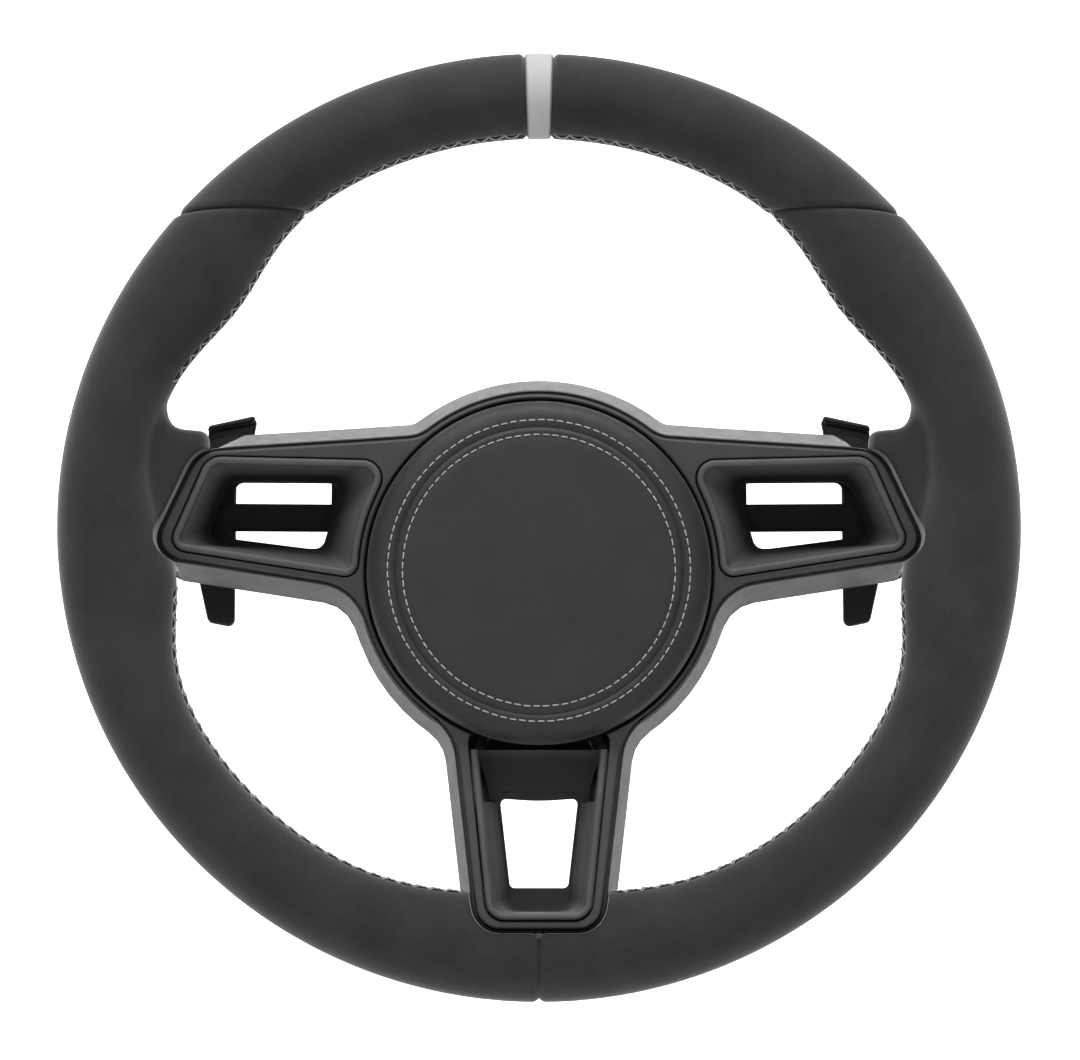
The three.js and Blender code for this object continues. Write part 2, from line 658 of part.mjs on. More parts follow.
// The pad's outer surface from its middle to its skirt, taken in by a thickness.
function padProfile(inset, from, to) {
  const points = [];
  const shoulder = PAD_RADIUS - PAD_EDGE;
  const crown = (r) => PAD_CROWN - inset - PAD_DOME * (r / PAD_SEAM_RADIUS) ** 2;
  for (let s = 0; s <= 2; s++) {
    const r = from + ((Math.min(to, shoulder) - from) * s) / 2;
    points.push([r, crown(r)]);
  }
  if (to > shoulder) {
    const radius = PAD_EDGE - inset;
    for (let s = 1; s <= 4; s++) {
      const turn = (Math.PI / 2) * (s / 4);
      points.push([shoulder + radius * Math.sin(turn), crown(shoulder) - radius * (1 - Math.cos(turn))]);
    }
    points.push([PAD_RADIUS - inset, PAD_SKIRT]);
  }
  return points;
}

function padPieces() {
  const seam = { inner: PAD_SEAM_RADIUS - GAP / 2, outer: PAD_SEAM_RADIUS + GAP / 2 };
  // A skin's profile, from its inner face to its outer one.
  const skin = (from, to) => [...padProfile(HIDE, from, to), ...padProfile(0, from, to).reverse()];
  const ring = skin(seam.outer, PAD_RADIUS);
  const inset = HIDE + GAP;
  const crown = padProfile(inset, 0, PAD_RADIUS).reverse();
  const under = [[0, PAD_BACK], [CARRIER_RADIUS, PAD_BACK], [PAD_RADIUS - inset, CORE_EDGE]];
  return {
    disc: turned(skin(0, seam.inner), ...PAD),
    ring: turned([...ring, ring[0]], ...PAD),
    core: turned([...under, ...crown], ...PAD),
  };
}

function padCarrier() {
  const front = PAD_BACK - GAP;
  const plate = bar(...PAD, CARRIER_BACK, front, CARRIER_RADIUS, 40);
  const holes = POSTS.map(([x, y]) => bar(x, y, CARRIER_BACK - 1, front + 1, POST_RADIUS + GAP, 16));
  return cut(plate, ...holes);
}

function shoulderScrew([x, y]) {
  const under = HUB_PLATE_BACK - GAP;
  const profile = [
    [0, under - POST_HEAD + 2],
    [2, under - POST_HEAD + 2],
    [2, under - POST_HEAD],
    [POST_HEAD_RADIUS, under - POST_HEAD],
    [POST_HEAD_RADIUS, under],
    [POST_RADIUS, under],
    [POST_RADIUS, PAD_BACK - 2 * GAP],
    [0, PAD_BACK - 2 * GAP],
  ];
  return turned(profile, x, y, 16);
}

// A compression spring along z, as a wire swept along a helix.
class Helix extends THREE.Curve {
  constructor(x, y, z0, z1, radius, turns) {
    super();
    Object.assign(this, { x, y, z0, z1, radius, turns });
  }
  getPoint(t, target = new THREE.Vector3()) {
    const turn = 2 * Math.PI * this.turns * t;
    const z = this.z0 + (this.z1 - this.z0) * t;
    return target.set(this.x + this.radius * Math.cos(turn), this.y + this.radius * Math.sin(turn), z);
  }
}

// A round section swept along a curve.
function swept(curve, radius, sides, steps) {
  const section = new THREE.Shape(
    Array.from({ length: sides }, (_, i) => {
      const turn = (2 * Math.PI * i) / sides;
      return new THREE.Vector2(radius * Math.cos(turn), radius * Math.sin(turn));
    }),
  );
  return solid(new THREE.ExtrudeGeometry(section, { steps, extrudePath: curve, bevelEnabled: false }));
}

function hornSpring([x, y]) {
  const room = SPRING_WIRE / 2 + GAP;
  const helix = new Helix(x, y, HUB_PLATE_FRONT + room, CARRIER_BACK - room, SPRING_RADIUS, 3);
  return swept(helix, SPRING_WIRE / 2, 5, 27);
}

function fixedContact() {
  const foot = HUB_PLATE_FRONT + GAP;
  const profile = [
    [0, HUB_PLATE_BACK + GAP],
    [1.5, HUB_PLATE_BACK + GAP],
    [1.5, foot],
    [5, foot],
    [5, foot + CONTACT_HEIGHT - 0.8],
    [4.2, foot + CONTACT_HEIGHT],
    [0, foot + CONTACT_HEIGHT],
  ];
  return turned(profile, 0, -CONTACT_DROP, 20);
}

function movingContact() {
  const tip = HUB_PLATE_FRONT + GAP + CONTACT_HEIGHT + PAD_TRAVEL + GAP;
  const top = CARRIER_BACK - GAP;
  const profile = [[0, tip], [2.4, tip], [3.2, tip + 0.8], [3.2, top], [0, top]];
  return turned(profile, 0, -CONTACT_DROP, 20);
}

// ---------------------------------------------------------------- hub hardware

function splinedHub() {
  const teeth = 24;
  const bore = Array.from({ length: 2 * teeth }, (_, i) => {
    const radius = BORE_RADIUS + (i % 2 ? 0.7 : 0);
    const turn = (Math.PI * i) / teeth;
    return [radius * Math.cos(turn), radius * Math.sin(turn)];
  });
  const ring = (z) => bore.map(([x, y]) => [x, y, z]);
  const body = bar(0, 0, 0, HUB_PLATE_BACK - GAP, HUB_RADIUS, 36);
  return cut(body, loft([ring(-1), ring(HUB_PLATE_BACK)]));
}

function hubBolt() {
  const seat = HUB_PLATE_FRONT + GAP + WASHER + GAP;
  const across = BOLT_HEAD_FLATS / Math.sqrt(3);
  const head = new THREE.CylinderGeometry(across, across, BOLT_HEAD, 6);
  const hex = solid(head.rotateX(Math.PI / 2).translate(0, 0, seat + BOLT_HEAD / 2));
  return join(hex, bar(0, 0, seat - BOLT_LENGTH, seat + 1, BOLT_RADIUS, 20));
}

function washer() {
  const [z0, z1] = [HUB_PLATE_FRONT + GAP, HUB_PLATE_FRONT + GAP + WASHER];
  return cut(bar(0, 0, z0, z1, WASHER_RADIUS), bar(0, 0, z0 - 1, z1 + 1, BOLT_RADIUS + GAP));
}

// The plug block on the back of the hub plate, open to the rear.
function plugBlock() {
  const top = HUB_PLATE_BACK - GAP;
  const low = -CONTACT_DROP;
  const block = box([-11, low - 6, BOWL_FLOOR - 2.5], [11, low + 5, top]);
  const socket = box([-9, low - 4.2, BOWL_FLOOR - 4], [9, low + 3.2, top - 4.5]);
  return cut(block, socket);
}

// A cap screw seen from behind, head towards -z.
function capScrew(x, y, head, length, radius) {
  const profile = [
    [0, head + 1.6],
    [radius * 0.8, head + 1.6],
    [radius * 0.8, head],
    [radius * 1.9, head],
    [radius * 1.9, head + 2.4],
    [radius, head + 2.4],
    [radius, head + 2.4 + length],
    [0, head + 2.4 + length],
  ];
  return turned(profile, x, y, 14);
}

// ---------------------------------------------------------------- shift paddle, for the left side

const BASE_LEFT = -PIVOT_X - 7.5;
const BASE_RIGHT = -PIVOT_X + 7;
const BRACKET_SCREWS = [-20, 28];

function pivotBar(y0, y1, radius, sides) {
  const geometry = new THREE.CylinderGeometry(radius, radius, y1 - y0, sides);
  return solid(geometry.translate(-PIVOT_X, (y0 + y1) / 2, PIVOT_Z));
}

function paddleBracket() {
  const top = BRACKET_BASE + BASE_THICK;
  const [low, high] = [BRACKET_SCREWS[0] - 6, BRACKET_SCREWS[1] + 6];
  const base = box([BASE_LEFT, low, BRACKET_BASE], [BASE_RIGHT, high, top]);
  const tongue = box(
    [-RETURN_SPRING_X - 5, ARM_Y - ARM_HEIGHT / 2, BRACKET_BASE],
    [BASE_LEFT + 1, ARM_Y + ARM_HEIGHT / 2, top],
  );
  const ears = [KNUCKLE_HIGH + GAP, KNUCKLE_LOW - GAP - EAR_THICK].map((y) => {
    const cheek = box([-PIVOT_X - 5, y, PIVOT_Z], [-PIVOT_X + 5, y + EAR_THICK, BRACKET_BASE + 1]);
    return join(cheek, pivotBar(y, y + EAR_THICK, 5, 16));
  });
  const pinRoom = pivotBar(KNUCKLE_LOW - 20, KNUCKLE_HIGH + 20, PIN_RADIUS + GAP, 12);
  const screwRoom = BRACKET_SCREWS.map((y) => bar(-PIVOT_X, y, BRACKET_BASE - 1, top + 1, 2 + FIT, 12));
  return cut(join(base, tongue, ...ears), pinRoom, ...screwRoom, arms(GAP));
}

const paddlePin = () => pivotBar(KNUCKLE_LOW - EAR_THICK - 1, KNUCKLE_HIGH + EAR_THICK + 1, PIN_RADIUS, 12);

function paddle() {
  const [back, front] = [PIVOT_Z - BLADE_THICK / 2, PIVOT_Z + BLADE_THICK / 2];
  const slab = (corners) => {
    const ring = (grow, z) => polygon(corners, grow, 3).map(([x, y]) => [x, y, z]);
    return loft([ring(-0.8, back), ring(0, back + 0.8), ring(0, front - 0.8), ring(-0.8, front)]);
  };
  const blade = slab([
    [-BLADE_OUTER + 3.2, EAR_TOP - 4, 4],
    [-BLADE_OUTER, 8, 20],
    [-BLADE_OUTER, -19, 12],
    [-BLADE_OUTER + 3.5, EAR_BOTTOM + 1.6, 3],
    [-BLADE_INNER - 0.2, EAR_BOTTOM - 0.5, 2],
    [-BLADE_INNER, 26, 6],
    [-BLADE_INNER + 6, 34, 6],
    [-BLADE_INNER + 8.2, EAR_TOP, 1.6],
  ]);
  const arm = slab([
    [-BLADE_INNER - 4, ARM_Y + ARM_HEIGHT / 2, 0.5],
    [-BLADE_INNER - 4, ARM_Y - ARM_HEIGHT / 2, 0.5],
    [-PIVOT_X, ARM_Y - ARM_HEIGHT / 2, 0.5],
    [-PIVOT_X, ARM_Y + ARM_HEIGHT / 2, 0.5],
  ]);
  const knuckle = pivotBar(KNUCKLE_LOW, KNUCKLE_HIGH, KNUCKLE_RADIUS, 16);
  const bore = pivotBar(KNUCKLE_LOW - 1, KNUCKLE_HIGH + 1, PIN_RADIUS + PIN_CLEARANCE, 16);
  return cut(join(blade, arm, knuckle), bore);
}

const SWITCH_BACK = BRACKET_BASE - GAP - SWITCH_DEPTH;
const PADDLE_FRONT = PIVOT_Z + BLADE_THICK / 2;

function switchBody() {
  const half = SWITCH_LENGTH / 2;
  const top = BRACKET_BASE - GAP;
  const body = box([-SWITCH_X - half, ARM_Y - 3, SWITCH_BACK], [-SWITCH_X + half, ARM_Y + 3, top]);
  return cut(body, bar(-PLUNGER_X, ARM_Y, SWITCH_BACK - 1, SWITCH_BACK + 3, 1.1 + GAP, 12));
}

const switchPlunger = () => bar(-PLUNGER_X, ARM_Y, PADDLE_FRONT + GAP / 2, SWITCH_BACK + 1, 1.1, 12);

function returnSpring() {
  const room = 0.4 + GAP;
  const helix = new Helix(-RETURN_SPRING_X, ARM_Y, PADDLE_FRONT + room, BRACKET_BASE - room, 2.2, 3);
  return swept(helix, 0.4, 5, 24);
}

// From the switch, under the bracket, through the bowl's side and the hub plate, and to the plug block.
function paddleLead() {
  const way = [
    [-SWITCH_X + SWITCH_LENGTH / 2 + GAP, ARM_Y, LEAD_Z],
    [-PIVOT_X, ARM_Y, LEAD_Z],
    [-BOWL_RADIUS + 2, ARM_Y, LEAD_Z],
    [-BOWL_RADIUS + 9.5, ARM_Y - 0.4, LEAD_Z],
    [-LEAD_HOLE[0] - 2.4, LEAD_HOLE[1] + 2.4, HUB_PLATE_FRONT + 2.2],
    [-LEAD_HOLE[0], LEAD_HOLE[1], HUB_PLATE_FRONT - 1],
    [-LEAD_HOLE[0], LEAD_HOLE[1] - 0.4, HUB_PLATE_BACK + 0.5],
    [-LEAD_HOLE[0] + 3.5, LEAD_HOLE[1] - 5, 30.8],
    [-20, -CONTACT_DROP + 1, 30.6],
    [-11 - GAP, -CONTACT_DROP, 30.6],
  ];
  return swept(through(way), LEAD_RADIUS, 6, 32);
}

// ---------------------------------------------------------------- the assembly

const wheel = new THREE.Group();
wheel.rotation.x = Math.PI / 2;

function place(name, manifold, finish, parent = wheel) {
  const mesh = new THREE.Mesh(geometryOf(manifold), new THREE.MeshStandardMaterial(COLOURS[finish]));
  mesh.name = name;
  parent.add(mesh);
}

const sides = [
  { name: "left", group: new THREE.Group() },
  { name: "right", group: new THREE.Group() },
];
sides[1].group.scale.x = -1;
sides.forEach(({ group }) => wheel.add(group));

// Adds a left-hand piece and its mirror image.
function placePair(name, manifold, finish) {
  sides.forEach((side) => place(`${side.name}_${name}`, manifold, finish, side.group));
}

const rim = rimPieces();
place("armature", armature(), "casting");
place("rim_foam", rim.foam, "foam");
place("centre_marker_band", rim.marker, "marker");
placePair("upper_wrap", rim.upper, "suede");
placePair("side_wrap", rim.side, "suede");

place("spoke_frame", spokeFrame(), "satin");
placePair("spoke_insert", sideInsert(), "plastic");
place("lower_spoke_insert", lowerInsert(), "plastic");
place("rear_cover", rearCover(), "plastic");

place("splined_hub", splinedHub(), "steel");
place("hub_bolt", hubBolt(), "steel");
place("hub_washer", washer(), "steel");
place("plug_block", plugBlock(), "plastic");
place("fixed_horn_contact", fixedContact(), "brass");

const pad = padPieces();
place("pad_core", pad.core, "plastic");
place("pad_centre_leather", pad.disc, "leather");
place("pad_edge_leather", pad.ring, "leather");
place("pad_carrier", padCarrier(), "casting");
place("moving_horn_contact", movingContact(), "brass");
POSTS.forEach((post, i) => {
  place(`pad_screw_${i + 1}`, shoulderScrew(post), "steel");
  place(`horn_spring_${i + 1}`, hornSpring(post), "steel");
});

placePair("paddle_bracket", paddleBracket(), "plastic");
placePair("paddle_pin", paddlePin(), "steel");
placePair("paddle", paddle(), "satin");
placePair("paddle_switch", switchBody(), "plastic");
placePair("switch_plunger", switchPlunger(), "plastic");
placePair("return_spring", returnSpring(), "steel");
placePair("paddle_lead", paddleLead(), "plastic");
BRACKET_SCREWS.forEach((y, i) => {
  const screw = capScrew(-PIVOT_X, y, BRACKET_BASE - 2.4 - GAP, 3, 2);
  placePair(`bracket_screw_${i + 1}`, screw, "steel");
});

export default wheel;
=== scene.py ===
"""The looks of a three-spoke racing wheel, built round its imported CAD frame.

Shapes are worked out as the driver sees them, in millimetres: x to the right, y up and z towards the
driver, with z = 0 on the rear face of the hub. place() turns that into the row frame, in metres.
"""

import json
import math
import random

import bmesh
import bpy
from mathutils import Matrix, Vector, kdtree
from mathutils.bvhtree import BVHTree


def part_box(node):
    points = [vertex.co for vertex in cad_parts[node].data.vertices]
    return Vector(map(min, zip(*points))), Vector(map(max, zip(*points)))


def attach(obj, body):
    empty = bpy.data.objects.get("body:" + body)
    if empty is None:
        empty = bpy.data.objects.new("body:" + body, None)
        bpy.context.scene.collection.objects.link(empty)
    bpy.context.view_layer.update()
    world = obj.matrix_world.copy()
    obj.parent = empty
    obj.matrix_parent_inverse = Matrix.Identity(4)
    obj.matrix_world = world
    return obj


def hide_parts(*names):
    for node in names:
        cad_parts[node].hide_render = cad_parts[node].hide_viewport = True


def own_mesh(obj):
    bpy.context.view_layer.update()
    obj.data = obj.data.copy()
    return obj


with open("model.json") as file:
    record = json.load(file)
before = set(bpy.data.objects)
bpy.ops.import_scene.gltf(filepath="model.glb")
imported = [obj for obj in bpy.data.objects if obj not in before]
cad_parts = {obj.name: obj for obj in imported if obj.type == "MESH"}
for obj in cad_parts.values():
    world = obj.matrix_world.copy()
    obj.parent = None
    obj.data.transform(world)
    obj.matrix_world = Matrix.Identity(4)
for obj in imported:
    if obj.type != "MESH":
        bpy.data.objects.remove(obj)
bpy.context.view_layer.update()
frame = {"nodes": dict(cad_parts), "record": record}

MM = 0.001
random.seed(7)


def place(x, y, z):
    return Vector((x, -z, y)) * MM


def local(point):
    return Vector((point.x, point.z, -point.y)) / MM


def local_box(node):
    """Lowest and highest corners of a CAD node, as the driver sees it, in millimetres."""
    low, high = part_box(node)
    return Vector((low.x, low.z, -high.y)) / MM, Vector((high.x, high.z, -low.y)) / MM


# ------------------------------------------------------------------ sizes, from the CAD nodes

rim_low, rim_high = local_box("left_side_wrap")
RIM_RADIUS = -rim_low.x
RIM_OVAL = RIM_RADIUS + rim_low.y  # how much less tall than wide the rim is, each way
GRIP = 32.0
GRIP_DEPTH = 30.0
RIM_PLANE = rim_high.z - GRIP_DEPTH / 2
GRIP_CENTRE = RIM_RADIUS - GRIP / 2
RIM_INNER = RIM_RADIUS - GRIP
HIDE = 1.2
SWELLS = ((54, 8.3, 12), (98, 11, 12), (180, 8, 20))  # clock angle, swell, half width
SEAM_HEIGHT = 116.4
MARKER_ANGLE = 1.8

pad_low, pad_high = local_box("pad_edge_leather")
PAD_RADIUS = (pad_high.x - pad_low.x) / 2
PAD_DROP = -(pad_high.y + pad_low.y) / 2
PAD_CROWN = local_box("pad_centre_leather")[1].z
PAD_SEAM = 53.8
PAD_STITCHES = (50.8, 56.4)
PAD_EDGE = 7.5
PAD_SKIRT = pad_low.z
PAD_HOLE = PAD_RADIUS + 1.5

FRAME_BACK = 54.0
FACE = 74.0
SIDE_RISE, SIDE_START = 0.06, 68.0
LOWER_RISE, LOWER_START = 0.17, 86.0
SPOKE_END = RIM_INNER - 6.5
SPOKE_TOP, SPOKE_BOTTOM = 28.1, -16.8
LOWER_HALF = 28.3
LOWER_END = RIM_INNER - RIM_OVAL + 6.5
LIP, LIP_PROUD = 2.7, 1.4
# Where the hide begins to cover the frame's ends, and over what length its flare dies out there.
TOP_COVER = (SPOKE_END - 26.0, 7.5)
BOTTOM_COVER = (SPOKE_END - 5.5, 3.0)
FOOT_COVER = (LOWER_END - 11.0, 6.0)
COVER_BACK = 50.0

# ------------------------------------------------------------------ outlines


def on_ring(radius, angle):
    turn = math.radians(angle)
    return radius * math.cos(turn), radius * math.sin(turn) - PAD_DROP


def edge(at, heading, radius, spread=0.0, ring=False, steps=9):
    return {"at": at, "heading": heading, "radius": radius, "spread": spread, "ring": ring, "steps": steps}


def outline(edges, grow=0.0, flare=0.0):
    """A closed anticlockwise outline of straight edges and round corners, each edge moved out by grow
    and by flare times its spread."""
    lines = []
    for e in edges:
        turn = math.radians(e["heading"])
        along = Vector((math.cos(turn), math.sin(turn)))
        out = Vector((along.y, -along.x))
        more = (grow[len(lines)] if isinstance(grow, (list, tuple)) else grow) + flare * e["spread"]
        lines.append((Vector(e["at"]) + out * more, along, more))
    count = len(lines)
    corners = []
    for i, (at, along, _) in enumerate(lines):
        next_at, next_along, _ = lines[(i + 1) % count]
        reach = (next_at - at).cross(next_along) / along.cross(next_along)
        corners.append(at + along * reach)
    points = []
    for i, corner in enumerate(corners):
        after = (i + 1) % count
        into, away = lines[i][1], lines[after][1]
        turn = math.atan2(into.cross(away), into.dot(away))
        sign = 1 if turn > 0 else -1
        grown = (lines[i][2] + lines[after][2]) / 2 * sign
        room = 0.49 * min((corner - corners[i - 1]).length, (corner - corners[after]).length)
        tangent = math.tan(abs(turn) / 2)
        radius = max(edges[i]["radius"] + grown, 0.3)
        if not edges[i]["ring"]:
            radius = min(radius, room / tangent)
        start = corner - into * radius * tangent
        centre = start + Vector((-into.y, into.x)) * radius * sign
        arm = start - centre
        for s in range(edges[i]["steps"] + 1):
            angle = turn * s / edges[i]["steps"]
            cos, sin = math.cos(angle), math.sin(angle)
            points.append(
                (centre.x + arm.x * cos - arm.y * sin, centre.y + arm.x * sin + arm.y * cos)
            )
    return points


def polygon(corners, grow=0.0, steps=9):
    edges = []
    for i, (x, y, _) in enumerate(corners):
        next_x, next_y, radius = corners[(i + 1) % len(corners)]
        heading = math.degrees(math.atan2(next_y - y, next_x - x))
        edges.append(edge((x, y), heading, radius, steps=steps))
    return outline(edges, grow)


def mirrored(points):
    return [(-x, *rest) for x, *rest in reversed(points)]


def frame_edges():
    crown, flank = PAD_RADIUS + 4, PAD_RADIUS + 3
    half = [
        edge(on_ring(crown, 90), 180, crown, 7, ring=True, steps=26),
        edge(on_ring(crown, 127), 217, 14, 7),
        edge((-SPOKE_END + 21, SPOKE_TOP), 184, 13, 7),
        edge((-SPOKE_END + 6.5, 13.3), 245, 9, 3),
        edge((-SPOKE_END + 21, SPOKE_BOTTOM), 351.4, 20, 5.5),
        edge(on_ring(flank, 201), 291, flank, 5, ring=True, steps=22),
        edge(on_ring(flank, 236), 326, 20, 5),
        edge((-LOWER_HALF, -111), 276.8, 10, 4.3),
    ]
    other = []
    for i, e in enumerate(half):
        corner = half[i - 1] if i else e
        x, y = e["at"]
        rounding = corner["radius"], e["spread"], corner["ring"], corner["steps"]
        other.append(edge((-x, y), -e["heading"], *rounding))
    return [*half, edge((0, -LOWER_END), 0, 10, 1), *reversed(other[1:])]


FRAME_EDGES = frame_edges()


def between(a, b, share):
    return a[0] + (b[0] - a[0]) * share, a[1] + (b[1] - a[1]) * share


def mixed(a, b, share):
    return [between(p, q, share) for p, q in zip(a, b)]


def exposed(x, y):
    """How much of the frame's flare is left at a place on its outline. The hide covers its three ends."""
    start, fade = TOP_COVER if y > 5 else BOTTOM_COVER
    covered = max((abs(x) - start) / fade, (-y - FOOT_COVER[0]) / FOOT_COVER[1], 0)
    covered = min(covered, 1)
    return 1 - 0.9 * covered * covered * (3 - 2 * covered)


def run_lengths(points, length=3.0):
    """How many steps of about that length each side of an outline takes."""
    return [max(1, round(math.dist(p, points[(i + 1) % len(points)]) / length)) for i, p in enumerate(points)]


def frame_outline(flare=0.0, grow=0.0):
    plain, flared = outline(FRAME_EDGES, grow), outline(FRAME_EDGES, grow, flare)
    points = []
    for i, count in enumerate(FRAME_RUNS):
        after = (i + 1) % len(plain)
        for s in range(count):
            at = between(plain[i], plain[after], s / count)
            out = between(flared[i], flared[after], s / count)
            points.append(between(at, out, exposed(*at)))
    return points


FRAME_RUNS = run_lengths(outline(FRAME_EDGES))


def side_lip(grow=0.0):
    ring = PAD_HOLE + 2
    return outline(
        [
            edge((-SPOKE_END + 9.7, 7.4), 247, 5),
            edge((-100, -15.8), 351.4, 5),
            edge(on_ring(ring, 176), 86, ring, ring=True),
            edge(on_ring(ring, 156), 66, 7),
            edge((-90, 24.3), 179, 8),
        ],
        grow,
    )


def side_throat(grow=0.0, bulge=0.0):
    """The outline of the side slots together. bulge pushes the outer end out, for the scoop."""
    return polygon(
        [
            (-SPOKE_END + 26.3 - bulge * 0.25, 17.2, 3 + bulge * 0.5),
            (-SPOKE_END + 24.5 - bulge, -4.3 - bulge * 0.35, 3 + bulge * 0.3),
            (-82, -8.6, 4),
            (-78, 5, 30),
            (-75.2, 17.2, 4),
        ],
        grow,
    )


def lower_lip(grow=0.0, open_top=0.0):
    foot = -LOWER_END + 4.4
    corners = [(-25.6, -85, 1), (-19, foot, 7), (19, foot, 7), (25.6, -85, 1), (0, -85.3, 90)]
    return polygon(corners, [grow, grow, grow, grow + open_top, grow + open_top])


def lower_throat(grow=0.0, top=0.0, foot=0.0):
    corners = [
        (-14.7, -102.7, 2),
        (-10.8, -LOWER_END + 16.3, 2),
        (10.8, -LOWER_END + 16.3, 2),
        (14.7, -102.7, 2),
        (0, -103.8, 90),
    ]
    return polygon(corners, [grow, grow + foot, grow, grow + top, grow + top])


# ------------------------------------------------------------------ meshes


def ring(points, z):
    return [(x, y, z) for x, y in points]


def circle(radius, z, x=0.0, y=None, sides=96):
    y = -PAD_DROP if y is None else y
    step = 2 * math.pi / sides
    return [(x + radius * math.cos(i * step), y + radius * math.sin(i * step), z) for i in range(sides)]


def loft(rings, loop=False):
    """Vertices and faces of a skin through rings of equal counts. loop joins the last to the first."""
    count = len(rings[0])
    vertices = [point for r in rings for point in r]
    faces = []
    for k in range(len(rings) if loop else len(rings) - 1):
        a, b = k * count, ((k + 1) % len(rings)) * count
        faces += [(a + i, a + (i + 1) % count, b + (i + 1) % count, b + i) for i in range(count)]
    if not loop:
        faces.append(tuple(reversed(range(count))))
        faces.append(tuple(range(len(vertices) - count, len(vertices))))
    return vertices, faces


def mesh_object(name, vertices, faces):
    """A closed mesh from local points, its faces turned outwards."""
    mesh = bpy.data.meshes.new(name)
    mesh.from_pydata([place(*v) for v in vertices], [], faces)
    bm = bmesh.new()
    bm.from_mesh(mesh)
    bmesh.ops.recalc_face_normals(bm, faces=bm.faces)
    bm.to_mesh(mesh)
    bm.free()
    thing = bpy.data.objects.new(name, mesh)
    bpy.context.scene.collection.objects.link(thing)
    return thing


def lofted(name, rings, loop=False):
    return mesh_object(name, *loft(rings, loop))


def settle(thing):
    """Applies a piece's modifiers to its mesh."""
    bpy.context.view_layer.update()
    graph = bpy.context.evaluated_depsgraph_get()
    mesh = bpy.data.meshes.new_from_object(thing.evaluated_get(graph))
    thing.modifiers.clear()
    old, thing.data = thing.data, mesh
    bpy.data.meshes.remove(old)
    return thing


def combine(thing, others, operation):
    for other in others:
        modifier = thing.modifiers.new("combine", "BOOLEAN")
        modifier.operation = operation
        modifier.solver = "MANIFOLD"
        modifier.object = other
        settle(thing)
        bpy.data.objects.remove(other)
    return thing


def cut(thing, *tools):
    return combine(thing, tools, "DIFFERENCE")


def join(thing, *others):
    return combine(thing, others, "UNION")


def rise(x, y):
    return SIDE_RISE * max(0.0, abs(x) - SIDE_START) + LOWER_RISE * max(0.0, -y - LOWER_START)


def tilt(thing):
    """Makes the spokes climb towards the rim, folding them where the CAD frame folds."""
    bm = bmesh.new()
    bm.from_mesh(thing.data)
    bmesh.ops.triangulate(bm, faces=[f for f in bm.faces if len(f.verts) > 4], ngon_method="EAR_CLIP")
    folds = [((x, 0, 0), (1, 0, 0)) for x in (SIDE_START, -SIDE_START)]
    for point, normal in [*folds, ((0, 0, -LOWER_START), (0, 0, 1))]:
        geometry = [*bm.verts, *bm.edges, *bm.faces]
        bmesh.ops.bisect_plane(bm, geom=geometry, dist=1e-7, plane_co=Vector(point) * MM, plane_no=normal)
    for vertex in bm.verts:
        vertex.co.y -= rise(vertex.co.x / MM, vertex.co.z / MM) * MM
    bm.to_mesh(thing.data)
    bm.free()
    return thing


def smooth(thing, angle=32):
    """Smooth shading with sharp edges kept, and flat faces kept flat."""
    mesh = thing.data
    mesh.polygons.foreach_set("use_smooth", [True] * len(mesh.polygons))
    mesh.set_sharp_from_angle(angle=math.radians(angle))
    weighted = thing.modifiers.new("weighted", "WEIGHTED_NORMAL")
    weighted.keep_sharp = True
    weighted.weight = 100
    return settle(thing)


def tube(path, radius, sides=8):
    """Vertices and faces of a round bar along a path of local points, with rounded ends."""
    points = [Vector(p) for p in path]
    rings = []
    up = Vector((0, 0, 1))
    for i, point in enumerate(points):
        ahead = points[min(i + 1, len(points) - 1)] - points[max(i - 1, 0)]
        ahead.normalize()
        side = ahead.cross(up)
        if side.length < 0.2:
            side = ahead.cross(Vector((0, 1, 0)))
        side.normalize()
        over = side.cross(ahead)
        r = radius * (0.55 if i in (0, len(points) - 1) else 1.0)
        rings.append(
            [
                tuple(point + (side * math.cos(t) + over * math.sin(t)) * r)
                for t in (2 * math.pi * s / sides for s in range(sides))
            ]
        )
    return loft(rings)


def gathered(name, parts):
    """One object from several lists of vertices and faces."""
    vertices, faces = [], []
    for some, their in parts:
        base = len(vertices)
        vertices += some
        faces += [tuple(base + i for i in f) for f in their]
    return mesh_object(name, vertices, faces)


# ------------------------------------------------------------------ materials


